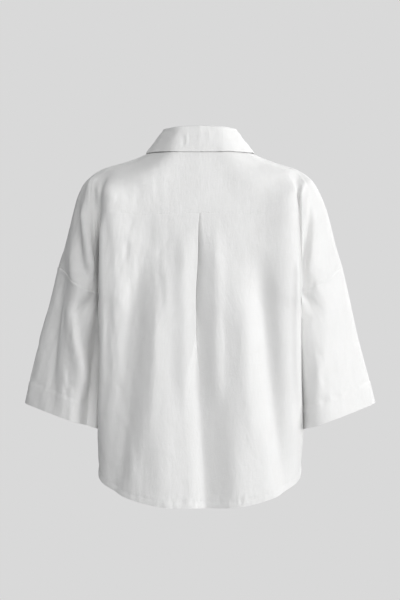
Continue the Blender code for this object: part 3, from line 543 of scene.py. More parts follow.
# Soft troughs (negative) and ridges on the back, seen from behind; +x is the wearer's left
BACK_CREASES = [
    Crease(-1.6, 5.0, 0.3, 131, -72, 144, -110, 3),
    Crease(1.2, 5.0, 0.0, 141, -66, 150, -104, 2),
    Crease(-1.5, 5.0, -0.4, 107, -112, 116, -142, 2),
    Crease(-1.2, 6.0, 0.2, 94, -60, 99, -108, -3),
    Crease(-1.6, 6.0, 0.4, 24, -118, 27, -178, 0),
    Crease(1.3, 5.0, 0.0, 14, -112, 11, -330, 0),
    Crease(1.2, 5.0, 0.0, -22, -114, -27, -215, 0),
    Crease(-1.0, 4.0, 0.0, -15, -114, -24, -182, 0),
    Crease(1.3, 4.2, 0.4, 82, -482, 36, -499, 2),
    Crease(-1.4, 6.0, 0.5, 140, -370, 122, -432, 4),
    Crease(-1.0, 4.0, -0.3, 128, -395, 138, -428, 2),
    Crease(1.1, 4.5, 0.0, 133, -420, 119, -458, 2),
    Crease(-1.2, 5.0, 0.2, 104, -436, 98, -528, -3),
    Crease(-1.4, 6.0, 0.3, 52, -330, 47, -430, 3),
    Crease(-0.9, 4.0, 0.0, 60, -380, 66, -440, 2),
    Crease(-1.2, 5.0, 0.4, 34, -250, 28, -330, 2),
    Crease(1.0, 4.0, 0.0, 42, -270, 40, -350, 2),
    Crease(-1.2, 4.0, 0.2, -33, -255, -38, -330, 2),
    Crease(1.2, 3.5, 0.0, -32, -270, -36, -352, 1),
    Crease(-1.0, 5.0, 0.0, -62, -500, -78, -540, 3),
    Crease(-1.1, 4.0, 0.3, -58, -520, -66, -566, 2),
    Crease(-1.3, 6.0, 0.2, -104, -300, -118, -372, 4),
    Crease(-1.2, 6.0, -0.3, -118, -430, -128, -500, 3),
    Crease(1.0, 5.0, 0.0, -86, -330, -92, -420, 2),
    Crease(-1.0, 5.0, 0.2, -70, -150, -78, -222, 2),
    Crease(-1.1, 6.0, 0.0, -148, -62, -152, -100, 2),
    Crease(-1.1, 7.0, 0.3, -40, -30, -50, -92, -3),
    Crease(0.8, 6.0, 0.0, 18, -20, 20, -108, 0),
    Crease(-0.6, 3.0, 0.0, -17, -44, -18, -106, 0),
    Crease(-1.0, 6.0, 0.2, 74, -40, 66, -100, 3),
    Crease(-1.3, 5.0, 0.3, 118, -150, 126, -196, 3),
    Crease(1.0, 5.0, 0.0, 104, -176, 110, -232, 2),
    Crease(-1.1, 5.0, -0.2, 66, -196, 60, -262, 2),
]

# The same kind on the front, guessed to match; +x is again the wearer's left
FRONT_CREASES = [
    Crease(-1.6, 6.0, 0.3, 126, -110, 138, -160, 3),
    Crease(1.3, 5.0, 0.0, 136, -118, 146, -176, 2),
    Crease(-1.4, 6.0, -0.3, -122, -120, -136, -182, 3),
    Crease(-1.3, 7.0, 0.2, 66, -130, 72, -240, 3),
    Crease(-1.4, 7.0, 0.2, -60, -150, -70, -262, -3),
    Crease(1.2, 6.0, 0.0, 104, -220, 110, -330, 2),
    Crease(-1.3, 6.0, 0.4, 118, -330, 108, -420, 4),
    Crease(-1.2, 5.0, 0.0, -112, -300, -122, -392, 3),
    Crease(1.1, 5.0, 0.0, -100, -380, -106, -470, 2),
    Crease(-1.3, 6.0, 0.3, 44, -180, 36, -280, 2),
    Crease(-1.2, 6.0, -0.2, -34, -230, -30, -330, 2),
    Crease(-1.3, 6.0, 0.2, 60, -430, 72, -520, 3),
    Crease(-1.2, 6.0, 0.3, -66, -420, -60, -524, 3),
    Crease(0.8, 3.0, 0.2, 92, -470, 66, -484, 2),
    Crease(-0.9, 3.0, 0.0, -88, -350, -60, -368, 2),
    Crease(1.0, 6.0, 0.0, 128, -420, 122, -500, 2),
    Crease(-1.1, 5.0, 0.2, -134, -420, -128, -490, 2),
]

# Creases round the arms: x is the place round the ring and z the row
LEFT_ARM_CREASES = [
    Crease(-1.6, 5.0, 0.3, 4.85, 9.1, 4.95, 9.9, 0.1),
    Crease(-1.4, 4.5, -0.3, 4.62, 10.0, 4.78, 10.7, 0.1),
    Crease(-1.4, 5.0, 0.2, 4.60, 10.9, 4.95, 11.4, 0.1),
    Crease(1.3, 4.5, 0.0, 5.05, 10.5, 4.80, 11.2, 0.1),
    Crease(-1.6, 6.0, 0.0, 6.55, 10.6, 6.35, 11.5, 0.1),
    Crease(-2.0, 8.0, 0.2, 6.9, 5.6, 6.6, 7.7, 0.1),
    Crease(-2.6, 9.0, 0.2, 8.9, 6.4, 8.5, 8.6, 0.2),
    Crease(2.4, 8.0, 0.0, 8.3, 7.2, 8.0, 9.6, 0.1),
    Crease(-2.6, 10.0, 0.2, 8.8, 9.2, 8.3, 11.2, 0.2),
    Crease(-1.5, 5.0, 0.0, 9.2, 9.4, 9.0, 10.4, 0.1),
    Crease(2.0, 8.0, 0.0, 7.6, 9.6, 7.4, 11.4, 0.1),
]
RIGHT_ARM_CREASES = [
    Crease(-3.2, 8.0, -0.3, 4.62, 4.9, 4.18, 6.5, 0.1),
    Crease(1.6, 8.0, 0.0, 5.3, 4.8, 5.0, 7.2, 0.1),
    Crease(2.4, 4.0, 0.2, 5.80, 7.55, 5.66, 8.02, 0.0),
    Crease(2.8, 4.5, 0.0, 5.30, 7.70, 5.14, 8.22, 0.0),
    Crease(2.8, 4.5, 0.3, 4.95, 7.72, 4.76, 8.30, 0.0),
    Crease(-1.2, 4.0, 0.0, 5.48, 7.90, 5.36, 8.4, 0.0),
    Crease(-1.5, 5.0, 0.0, 4.35, 9.8, 4.60, 10.3, 0.1),
    Crease(-1.6, 5.0, 0.3, 4.30, 10.6, 4.62, 11.0, 0.1),
    Crease(1.5, 4.5, 0.0, 4.25, 10.4, 4.42, 10.8, 0.0),
    Crease(-1.6, 5.0, 0.0, 4.25, 11.2, 4.55, 11.5, 0.0),
    Crease(1.4, 5.0, 0.0, 4.60, 11.1, 4.75, 11.5, 0.0),
    Crease(-1.6, 7.0, 0.2, 5.55, 10.3, 5.75, 11.3, 0.1),
    Crease(1.6, 7.0, 0.0, 5.15, 9.6, 5.2, 11.2, 0.1),
    Crease(-1.4, 6.0, 0.0, 6.2, 8.6, 6.0, 10.2, 0.1),
    Crease(-2.4, 9.0, 0.2, 8.8, 6.8, 8.4, 8.9, 0.2),
    Crease(2.4, 8.0, 0.0, 8.1, 7.6, 7.9, 9.9, 0.1),
    Crease(-2.6, 10.0, 0.2, 8.6, 9.4, 8.9, 11.4, 0.2),
    Crease(-1.5, 5.0, 0.0, 9.3, 8.9, 9.0, 9.9, 0.1),
    Crease(-1.6, 8.0, 0.0, 7.1, 9.4, 7.0, 11.4, 0.1),
]
PLACE_STEP = 48.0           # about how far one place is round an arm
ROW_STEP = 50.0             # and one row down it
YOKE_ROW = 35.0             # length of a row across the yoke seam
ARM_ROW = 38.0              # length of row 7 to 8 above the armhole seam

FLANK_CREST = 4.0           # how far the fold at the flank stands out
FLANK_SHARPNESS = 0.14      # and its width, in places
CREST_TOPS = (4.6, 6.2)     # the rows where it comes in, on the wearer's left and right,
CREST_ENDS = (11.2, 12.3)   # and where it starts to fade

NECK_ROWS = (0.9, 1.2)      # where creases come in below the neckline
CREASE_EDGE = (2.9, 0.9)    # place where the creases of the trunk end
ARM_EDGE = (4.05, 0.5)      # and where those of the arms come in
ARM_SHARES = (1.2, 0.55)    # of the creases, on the left and right arm
SMALL_CREASES = 150         # short unplanned ones on each face of the body
ARM_SMALL_CREASES = 90
RIPPLE_CELLS = 61           # cells of the tile that uneven surfaces repeat over


def crease_shift(creases, x, z):
    """Sum of the creases at points (x, z) in millimetres."""
    total = np.zeros_like(x)
    for crease in creases:
        run_x, run_z = crease.to_x - crease.from_x, crease.to_z - crease.from_z
        length = np.hypot(run_x, run_z)
        away_x, away_z = x - crease.from_x, z - crease.from_z
        share = (away_x * run_x + away_z * run_z) / length ** 2
        near = (share > -0.05) & (share < 1.05)
        if not near.any():
            continue
        share = share[near]
        across = (away_x[near] * run_z - away_z[near] * run_x) / length
        across = across - 4 * crease.bow * share * (1 - share)
        width = crease.width * (1 + crease.skew * np.sign(across))
        fade = rises(share, -0.05, 0.4) * rises(-share, -1.05, 0.45)
        total[near] += crease.depth * ridge(across, width) * fade
    return total


def small_creases(count, seed, low, high):
    """Short creases strewn between the corners low and high, mostly along the hang."""
    draw = np.random.default_rng(seed)
    made = []
    for _ in range(count):
        x, z = draw.uniform(low, high)
        length = draw.uniform(14, 52)
        lean = draw.normal(0, 0.42)
        way = 1 if draw.random() < 0.4 else -1
        made.append(Crease(way * draw.uniform(0.15, 0.5), draw.uniform(2.4, 4.8),
                           draw.uniform(-0.4, 0.4), x, z, x + length * sin(lean),
                           z - length * cos(lean), draw.uniform(-3, 3)))
    return made


def arm_relief(creases, seed):
    """An arm's creases, with places and rows turned into millimetres, and small ones."""
    scaled = [crease._replace(from_x=crease.from_x * PLACE_STEP, from_z=crease.from_z * ROW_STEP,
                              to_x=crease.to_x * PLACE_STEP, to_z=crease.to_z * ROW_STEP,
                              bow=crease.bow * PLACE_STEP / 2) for crease in creases]
    strewn = small_creases(ARM_SMALL_CREASES, seed, (ARM_LOW[0], -ARM_HIGH[1]),
                           (ARM_HIGH[0], -ARM_LOW[1]))
    return scaled + [crease._replace(from_z=-crease.from_z, to_z=-crease.to_z)
                     for crease in strewn]


# Corners of the areas where small creases are strewn
BODY_LOW, BODY_HIGH = (-165, -580), (165, -20)
ARM_LOW, ARM_HIGH = (4.1 * PLACE_STEP, 3.0 * ROW_STEP), (9.9 * PLACE_STEP, 12.0 * ROW_STEP)
BACK_RELIEF = BACK_CREASES + small_creases(SMALL_CREASES, 11, BODY_LOW, BODY_HIGH)
FRONT_RELIEF = FRONT_CREASES + small_creases(SMALL_CREASES, 12, BODY_LOW, BODY_HIGH)
LEFT_ARM_RELIEF = arm_relief(LEFT_ARM_CREASES, 13)
RIGHT_ARM_RELIEF = arm_relief(RIGHT_ARM_CREASES, 14)

# Layers of uneven cloth: height, and the size of one swell across and down, in millimetres
Layer = namedtuple("Layer", "height across down seed lean start", defaults=(np.inf, 0.0))


def ripple(u, v, seed):
    """Smooth uneven field between about -1 and 1; one cell is 1 x 1."""
    tile = np.random.default_rng(seed).uniform(-1, 1, (RIPPLE_CELLS, RIPPLE_CELLS))
    i, j = np.floor(u).astype(int), np.floor(v).astype(int)
    s, t = smooth(u - i), smooth(v - j)
    i, j = i % RIPPLE_CELLS, j % RIPPLE_CELLS
    k, m = (i + 1) % RIPPLE_CELLS, (j + 1) % RIPPLE_CELLS
    upper = tile[i, j] * (1 - s) + tile[k, j] * s
    lower = tile[i, m] * (1 - s) + tile[k, m] * s
    return upper * (1 - t) + lower * t


def layered(layers, x, z):
    """Sum of the layers at points (x, z). A layer's rows lean over by its lean, if it has one."""
    return sum(layer.height * ripple(x / layer.across + z / layer.lean,
                                     z / layer.down + layer.start, layer.seed)
               for layer in layers)


def streaked(seed, small=(3.6, 21, 40), soft=(1.5, 38, 75)):
    """Fine streaks, small crumples (across, down and lean) and soft waves."""
    return (Layer(0.55, 6.5, 46, seed), Layer(0.30, small[0], small[1], seed + 1, small[2]),
            Layer(*soft, seed + 2))


ARM_LAYERS = {"small": (3.8, 20, 36), "soft": (1.4, 36, 70)}
BACK_LAYERS, FRONT_LAYERS = streaked(41), streaked(51)
LEFT_ARM_LAYERS, RIGHT_ARM_LAYERS = streaked(61, **ARM_LAYERS), streaked(71, **ARM_LAYERS)
INNER_LAYERS = (Layer(0.6, 7, 60, 31),)

# Stitched seams and hems
Seam = namedtuple("Seam", "dip allowance pucker layers")
YOKE_SEAM_FORM = Seam(0.05, 0.04, (0.1, 0.1),
                      (Layer(1, 5.5, 9, 21, start=3), Layer(0.6, 3.4, 9, 23, start=9)))
ARMHOLE_SEAM_FORM = Seam(0.2, 0.7, (1.1, 0.6),
                         (Layer(1, 5.5, 9, 22, start=3), Layer(0.6, 3.4, 9, 24, start=9)))
SEAM_SHARES = (1.0, 0.5)    # of a seam's dip and allowance, on the wearer's left and right
SEAM_DIP_WIDTH = 1.3
ALLOWANCE = 6.5             # seam allowance under the cloth below a seam
PUCKER = 0.55               # height of the puckers beside a stitched line
PUCKER_REACH = 9.0          # and how far they run out from it
HEM_RISE = 0.8
HEM_DIP, HEM_DIP_WIDTH = 0.5, 1.6   # at the hem's stitches
HEM_PUCKERS = (Layer(1, 6.5, 11, 25), Layer(0.6, 3.8, 8, 26))
HEM_UNEVEN = (Layer(0.5, 37, 1, 27, start=0.5),)    # puckers and waves come and go
HEM_WAVES = (Layer(0.9, 9, 30, 28, start=0.3),)     # waves of the hem's free edge
WAVE_REACH = 14.0
FAR = 99.0                  # a distance past every seam's reach
ARMS_APART = 400.0          # keeps the puckers of the two arms unlike each other

# Shares of the creases that show on the back: on the wearer's right, and on the yoke
RIGHT_SHARE, YOKE_SHARE = 0.2, 0.36
CREASED_FROM, CREASED_OUT = 26, 38  # x where the left's creases come in, and how far it moves
CREASED_LOW = (290, 90)     # outwards below this depth under the neck
CREASED_FADE = 50           # width over which they come in
YOKE_CALM = (95, 60)        # depth at which the yoke's calm ends
CLOSING_SHARE = 0.25        # share that shows beside the front closing
CLOSING_EDGE = (17, 16)     # and how far from centre front that ends


def seam_distance(kind, place, row):
    """Millimetres from the yoke seam and from the armhole seam, negative above each."""
    near = np.clip(place, 0, CENTRE_FRONT)
    away = np.full_like(row, FAR)
    if kind == "trunk":
        return away, away
    below = (row - ARMHOLE_ROW) * ROW_STEP
    if kind == "inner":
        return away, below
    arm = np.where(row >= ARMHOLE_ROW, below, (row - ARMHOLE_ROW) * ARM_ROW)
    arm = np.where(in_arm(near), arm, FAR)
    if kind == "arm":
        return away, arm
    yoke = (row - yoke_seam(near)) * YOKE_ROW
    return np.where(near <= YOKE_END_BACK, yoke, FAR), arm


def hem_row_length(place):
    """Millimetres from row 13 to 14 at places round the trunk."""
    near = np.minimum(np.abs(place), np.abs(CENTRE_FRONT - place))
    climb = np.interp(near, range(len(HEM_CLIMB)), HEM_CLIMB)
    return HEM_LENGTHS[0] + (HEM_LENGTHS[1] - HEM_LENGTHS[0]) * climb


def hem_distance(kind, place, row):
    """Millimetres up from the hem of the body or sleeve."""
    if kind in ("arm", "inner"):
        return (CUFF_ROW - row) * CUFF_ROW_LENGTH
    return (HEM_ROW - row) * hem_row_length(place)


def hem_depth(kind):
    return SLEEVE_HEM if kind in ("arm", "inner") else BODY_HEM


def hem_wall(kind, places, rows):
    """Extra wall where the hem is turned in."""
    deep = hem_depth(kind) - hem_distance(kind, places, rows)
    return (HEM_WALL - WALL) * smooth(deep / 1.5 + 0.5)


def crumpled(x, z):
    """Share of the creases that shows on the back: least on the yoke and the wearer's right."""
    start = CREASED_FROM + CREASED_OUT * rises(-z, *CREASED_LOW)
    below = YOKE_SHARE + (1 - YOKE_SHARE) * rises(-z, *YOKE_CALM)
    return (RIGHT_SHARE + rises(x, start, CREASED_FADE)) * below


def calm_front(x):
    """Share of the creases that shows on the front: least beside the closing."""
    return CLOSING_SHARE + (1 - CLOSING_SHARE) * rises(np.abs(x), *CLOSING_EDGE)


def sewn_relief(kind, place, row, along, fade, hand):
    """Dips, allowances and puckers of the seams and hems. along is millimetres round, and
    fade takes the puckers out where two ways of counting it meet."""
    total = np.zeros_like(row)
    gaps = seam_distance(kind, place, row)
    for gap, seam in zip(gaps, (YOKE_SEAM_FORM, ARMHOLE_SEAM_FORM)):
        form = seam.allowance * rises(-gap, -ALLOWANCE, 2.5) * rises(gap, 0, 0.8)
        form = form - seam.dip * ridge(gap, SEAM_DIP_WIDTH)
        pucker = layered(seam.layers, along, np.abs(gap)) * by_hand(hand, seam.pucker)
        total += by_hand(hand, SEAM_SHARES) * form
        total += PUCKER * fade * pucker * ridge(gap, PUCKER_REACH)
    hem = hem_distance(kind, place, row)
    deep = hem_depth(kind)
    total += HEM_RISE * rises(-hem, -deep - 1, 2.5)
    total -= HEM_DIP * ridge(hem - deep, HEM_DIP_WIDTH)
    if kind == "ring":
        return total
    uneven = 0.5 + layered(HEM_UNEVEN, along, 0 * along)
    strength = (1.5 if kind == "trunk" else 1.0) * (0.6 + 1.4 * uneven) * PUCKER
    pucker = strength * layered(HEM_PUCKERS, along, hem) * ridge(hem - deep, PUCKER_REACH)
    wave = uneven * layered(HEM_WAVES, along, hem) * ridge(hem, WAVE_REACH)
    return total + fade * (pucker + wave)


def relief(kind, place, row, hand, point):
    """Fine form of the cloth, outwards in millimetres, on top of its large folds."""
    x, z = point[:, 0] * hand, point[:, 2]
    around, down = place * PLACE_STEP, row * ROW_STEP
    if kind == "inner":
        calm = rises(row, ARMHOLE_ROW + 0.5, 1.0) * smooth((1 - np.abs(place)) / 0.35)
        sewn = sewn_relief(kind, place, row, around, calm, hand)
        return calm * layered(INNER_LAYERS, around, down) + sewn
    back, near = place <= OUTSIDE, from_centre(place)
    neck = rises(row, *NECK_ROWS)
    total = np.zeros_like(x)
    if kind != "arm":
        crest = rises(row, by_hand(hand, CREST_TOPS), 0.8)
        crest = crest * falls(row, by_hand(hand, CREST_ENDS), 1.4)
        total += FLANK_CREST * crest * ridge(near - FLANK, FLANK_SHARPNESS)
    body = falls(near, *CREASE_EDGE) * neck * (kind != "arm")
    arm = rises(near, *ARM_EDGE) * neck * (kind != "trunk") * by_hand(hand, ARM_SHARES)
    for share, a, b, creases, layers in (
            (body * back * crumpled(x, z), x, z, BACK_RELIEF, BACK_LAYERS),
            (body * ~back * calm_front(x), x, z, FRONT_RELIEF, FRONT_LAYERS),
            (arm * (hand > 0), around, down, LEFT_ARM_RELIEF, LEFT_ARM_LAYERS),
            (arm * (hand < 0), around, down, RIGHT_ARM_RELIEF, RIGHT_ARM_LAYERS)):
        use = share > 0
        if use.any():
            a, b = a[use], b[use]
            total[use] += share[use] * (crease_shift(creases, a, b) + layered(layers, a, b))
    on_arm = in_arm(place) & (kind != "trunk")
    along = np.where(on_arm, around + ARMS_APART * hand, x)
    fade = np.where(on_arm, rises(near, GROOVE, 0.3), rises(-near, -GROOVE, 0.3))
    return total + sewn_relief(kind, place, row, along, fade, hand)


def cloth(kind, place, row, side=1, inset=0.0):
    """The skin with its fine form: points and outward normals in millimetres."""
    point, normal = skin(kind, place, row, side, inset)
    place, row, hand, mirror, shape = addressed(kind, place, row, side)
    out = relief(kind, place, row, hand, point.reshape(-1, 3) * mirror).reshape(shape)
    return point + normal * out[..., None], normal


# ---------------------------------------------------------------- shells

FINE_STOPS = (0.0, 0.6, 1.3, 2.4)   # rows beside a seam, in millimetres from it


def stops(length, step, fine_start=True, fine_end=True):
    """Shares from 0 to 1 along a length in millimetres, closer together beside its seams."""
    start = FINE_STOPS if fine_start else [0.0]
    end = [length - stop for stop in FINE_STOPS[::-1]] if fine_end else [length]
    count = max(int(round((end[0] - start[-1]) / step)), 1)
    middle = np.linspace(start[-1], end[0], count + 1)[1:-1]
    return np.concatenate([start, middle, end]) / length


def dense(low, high, per_place=19):
    """Places from low to high, evenly spaced."""
    return np.linspace(low, high, int(round((high - low) * per_place)) + 1)


def lengths(points, axis):
    """Distance run along an axis of a lattice, starting from 0."""
    step = np.linalg.norm(np.diff(points, axis=axis), axis=2)
    zero = np.zeros_like(np.take(step, [0], axis=axis))
    return np.concatenate([zero, np.cumsum(step, axis=axis)], axis=axis)


seam_lines = {}             # stitched lines, as points on the cloth in millimetres


def placed(name, data):
    """New object in the scene, at the origin."""
    thing = bpy.data.objects.new(name, data)
    bpy.context.scene.collection.objects.link(thing)
    return thing


def cut_size(cells, across, down):
    """Width and length of a cut piece: its longest run of cloth each way."""
    sizes = []
    for kept, run in ((cells, across), (cells.T, down.T)):
        used = kept.any(axis=1)
        first = kept.argmax(axis=1)
        last = kept.shape[1] - kept[:, ::-1].argmax(axis=1)
        line = np.arange(len(kept))
        sizes.append((run[line, last] - run[line, first])[used].max())
    return sizes


def shell(name, outer, inner, cells, closed, finish):
    """A thin wall of cloth from two faces of a lattice, kept where cells is true, with its
    place on the cut piece as a UV map in metres."""
    rows, columns = outer.shape[:2]
    wrapped = np.concatenate([outer, outer[:, :1]], axis=1) if closed else outer
    across, down = lengths(wrapped, 1), lengths(wrapped, 0)
    across = across - across[:, across.shape[1] // 2][:, None]
    number = np.arange(rows * columns).reshape(rows, columns)
    i, j = np.nonzero(cells)
    right = (j + 1) % columns if closed else j + 1
    corners = np.stack([number[i, j], number[i, right], number[i + 1, right], number[i + 1, j]], 1)
    spots = np.stack([np.stack([i, j], 1), np.stack([i, j + 1], 1),
                      np.stack([i + 1, j + 1], 1), np.stack([i + 1, j], 1)], 1)
    ends = outer.reshape(-1, 3)[corners]
    facing = np.cross(ends[:, 2] - ends[:, 0], ends[:, 3] - ends[:, 1])
    away = (outer - inner).reshape(-1, 3)[corners[:, 0]]
    if np.sum(facing * away) < 0:
        corners, spots = corners[:, ::-1], spots[:, ::-1]

    # The free edges are those no neighbour shares; a strip of faces closes the wall there.
    far = rows * columns
    edge_a, edge_b = corners.ravel(), np.roll(corners, -1, axis=1).ravel()
    spot_a, spot_b = spots.reshape(-1, 2), np.roll(spots, -1, axis=1).reshape(-1, 2)
    key = edge_a.astype(np.int64) * far + edge_b
    rim = ~np.isin(key, edge_b.astype(np.int64) * far + edge_a)
    rims = np.stack([edge_b[rim], edge_a[rim], edge_a[rim] + far, edge_b[rim] + far], 1)
    rim_spots = np.stack([spot_b[rim], spot_a[rim], spot_a[rim], spot_b[rim]], 1)
    faces = np.concatenate([corners, corners[:, ::-1] + far, rims])
    places = np.concatenate([spots, spots[:, ::-1], rim_spots]).reshape(-1, 2)
    points = np.concatenate([outer.reshape(-1, 3), inner.reshape(-1, 3)]) * MM
    used, faces = np.unique(faces, return_inverse=True)
    mesh = bpy.data.meshes.new(name)
    mesh.from_pydata(points[used].tolist(), [], faces.reshape(-1, 4).tolist())
    chart = mesh.uv_layers.new(name="cut")
    flat = np.stack([across[places[:, 0], places[:, 1]], -down[places[:, 0], places[:, 1]]], 1)
    chart.data.foreach_set("uv", (flat * MM).ravel())
    mesh.validate()
    mesh.shade_smooth()
    mesh.set_sharp_from_angle(angle=radians(60))
    mesh.materials.append(finish)
    width, length = cut_size(cells, across, down)
    return placed(name, mesh)


def both_sides(kind, places, rows):
    """Cloth of a lattice whose negative places are on the wearer's right."""
    wide = np.broadcast_to(places, rows.shape)
    left = cloth(kind, np.abs(wide), rows, 1)
    right = cloth(kind, np.abs(wide), rows, -1)
    on_left = (wide >= 0)[..., None]
    return np.where(on_left, left[0], right[0]), np.where(on_left, left[1], right[1])


ROW_PITCH = 2.7             # millimetres between the rows of a lattice
YOKE_LENGTH = 150           # rows are spread over about these lengths: the yoke at centre back,
YOKE_ARM = 20               # the yoke beside the armhole,
BACK_LENGTHS = (140, 344)   # and the back above and below the armhole's row


def make_yoke(finish):
    one_side = dense(0, YOKE_END_FRONT)
    split = np.argmin(np.abs(one_side - YOKE_END_BACK))
    one_side[split] = YOKE_END_BACK
    places = np.concatenate([-one_side[:0:-1], one_side])
    near = np.abs(places)
    seam = yoke_seam(near)
    above = stops(YOKE_LENGTH, ROW_PITCH, False, True)
    below = stops(YOKE_ARM, 2.5, False, True)[1:]
    rows = np.concatenate([np.outer(above, seam), seam + np.outer(below, ARMHOLE_ROW - seam)])
    outer, normal = both_sides("ring", places, rows)
    cells = np.ones((rows.shape[0] - 1, len(places) - 1), bool)
    middle = (near[:-1] + near[1:]) / 2
    cells[len(above) - 1:, middle < YOKE_END_BACK] = False
    return shell("yoke_cloth", outer, outer - normal * WALL, cells, False, finish)


PLEAT_PITCH = 0.85          # from one layer of the pleat to the next
FOLD_POINTS = 7             # round each turn of the pleat
UNDERLAY_POINTS = 20        # across the underlay
OPEN_REACH = 26.0           # how far past its edges the open pleat's valley reaches
VALLEY_ROUND = 2.0          # how softly the valley's wall turns into its floor
RIGHT_REACH = 12.0          # how far past its right edge the underlay's slope reaches
TUCK_FADE = (230, 75)       # depth below the neck from which less cloth is tucked under
SPREAD_RISE = (290, 110)    # and from which the left fold opens into the valley
RAMP_POINTS = 23            # on each side, between the pleat and the plain columns
LEAST_TUCK = 1.8            # width of cloth that stays tucked under the left edge
EDGE_STARTS = (3.4, 1.6)    # the left layer's last points before its edge
SLOPE_TURN = (4.0, 0.12)    # how softly the underlay starts to sink: at most, and per opening
VALLEY_CURVE = 1.7          # how steep the valley's wall is


def pleat_section(left, right, fall, hollow, tuck, spread):
    """The cloth's middle line through the pleat, (x, depth), from the wearer's left. Its right
    side hangs open, so its cloth is tucked under the left side, as far as the share tuck of
    it, and the left fold opens out with spread."""
    opening = left - right
    over = max((PLEAT_CLOTH - opening) / 2 * tuck, LEAST_TUCK)
    radius = PLEAT_PITCH / 2
    turns = np.linspace(0, pi, FOLD_POINTS)
    top = WALL / 2
    edge = [(radius * (1 - sin(t)), top + radius * (1 - cos(t))) for t in turns]
    back = [(radius + (over - 2 * radius) * share, top + PLEAT_PITCH) for share in (0.33, 0.67)]
    far = [(over - radius + radius * sin(t), top + PLEAT_PITCH + radius * (1 - cos(t)))
           for t in turns]
    start = [(x, top) for x in EDGE_STARTS]
    folded = np.array(start + edge + back + far) + (left, 0)
    count = len(folded)
    deepest = fall * opening + 2 * PLEAT_PITCH
    turn = min(SLOPE_TURN[0], opening * SLOPE_TURN[1])

    def underlay(x):
        return deepest * (turn * np.log1p(np.exp((x - right) / turn)) / opening) ** hollow

    share = np.linspace(0, 1, UNDERLAY_POINTS + 2)[1:-1]
    x = left + over - radius + (right - left - over + radius) * share
    under = underlay(np.minimum(x, left))
    under += (2 * PLEAT_PITCH - under) * rises(x, left, max(over - 2.0, 1.0))
    folded = np.concatenate([folded, np.stack([x, top + under], 1)])
    x = np.concatenate([left + np.linspace(OPEN_REACH, 0, count), left - opening * share])
    under = underlay(x)
    wall = deepest * np.maximum((left + OPEN_REACH - x) / OPEN_REACH, 0) ** VALLEY_CURVE
    depth = np.minimum(under, wall)
    depth -= VALLEY_ROUND * np.log1p(np.exp(-np.abs(under - wall) / VALLEY_ROUND))
    spread_out = np.stack([x, top + np.maximum(depth, 0)], 1)
    x = right - np.linspace(0, RIGHT_REACH, count)
    beside = np.stack([x, top + underlay(x) * falls(right - x, 0, RIGHT_REACH)], 1)
    section = np.concatenate([folded + (spread_out - folded) * spread, beside])
    way = np.gradient(section, axis=0)
    way /= np.linalg.norm(way, axis=1)[:, None]
    across = np.stack([-way[:, 1], way[:, 0]], axis=1) * WALL / 2
    return section + across, section - across


def pleat_columns(height, unit, curves):
    """Places and depths of one row's columns through the pleat and the ramps beside it, for
    the outer and the inner face. unit is the millimetres from place 0 to 1."""
    faces = pleat_section(*(float(curve(height)) for curve in curves),
                          float(falls(height, *TUCK_FADE)), float(rises(height, *SPREAD_RISE)))
    ramps = np.linspace(1, 0, RAMP_POINTS + 2)[1:-1]
    reach = unit * PLEAT_SIDE
    places, depths = [], []
    for k, face in enumerate(faces):
        left_ramp = face[0, 0] + (reach - face[0, 0]) * ramps
        right_ramp = face[-1, 0] - (reach + face[-1, 0]) * ramps[::-1]
        places.append(np.concatenate([left_ramp, face[:, 0], right_ramp]) / unit)
        depths.append(np.pad(face[:, 1], RAMP_POINTS, constant_values=k * WALL))
    return places, depths


def back_lattice(side_places, numbers, upper):
    """Places, rows and depths of the back's columns, counted by row, face and column. Its
    first rows, as many as upper, run from the yoke seam to the armhole's row."""
    table = np.array(PLEAT_ROWS)
    curves = [table_curve(-table[:, 0], table[:, k]) for k in range(1, table.shape[1])]

    def rows_at(places, i):
        if i < upper:
            seam = yoke_seam(np.abs(places))
            return seam + (ARMHOLE_ROW - seam) * numbers[i]
        return np.full_like(places, numbers[i])

    def along_back(place, i):
        spot = np.array([place])
        return skin("ring" if i < upper else "trunk", spot, rows_at(spot, i))[0][0]

    signed, rows, deep = [], [], []
    for i in range(len(numbers)):
        places, depths = pleat_columns(-along_back(0.0, i)[2], along_back(1.0, i)[0], curves)
        signed.append([np.concatenate([side_places, part, -side_places[::-1]])
                       for part in places])
        deep.append([np.pad(part, len(side_places), constant_values=k * WALL)
                     for k, part in enumerate(depths)])
        rows.append([rows_at(part, i) for part in signed[-1]])
    return np.array(signed), np.array(rows), np.array(deep)


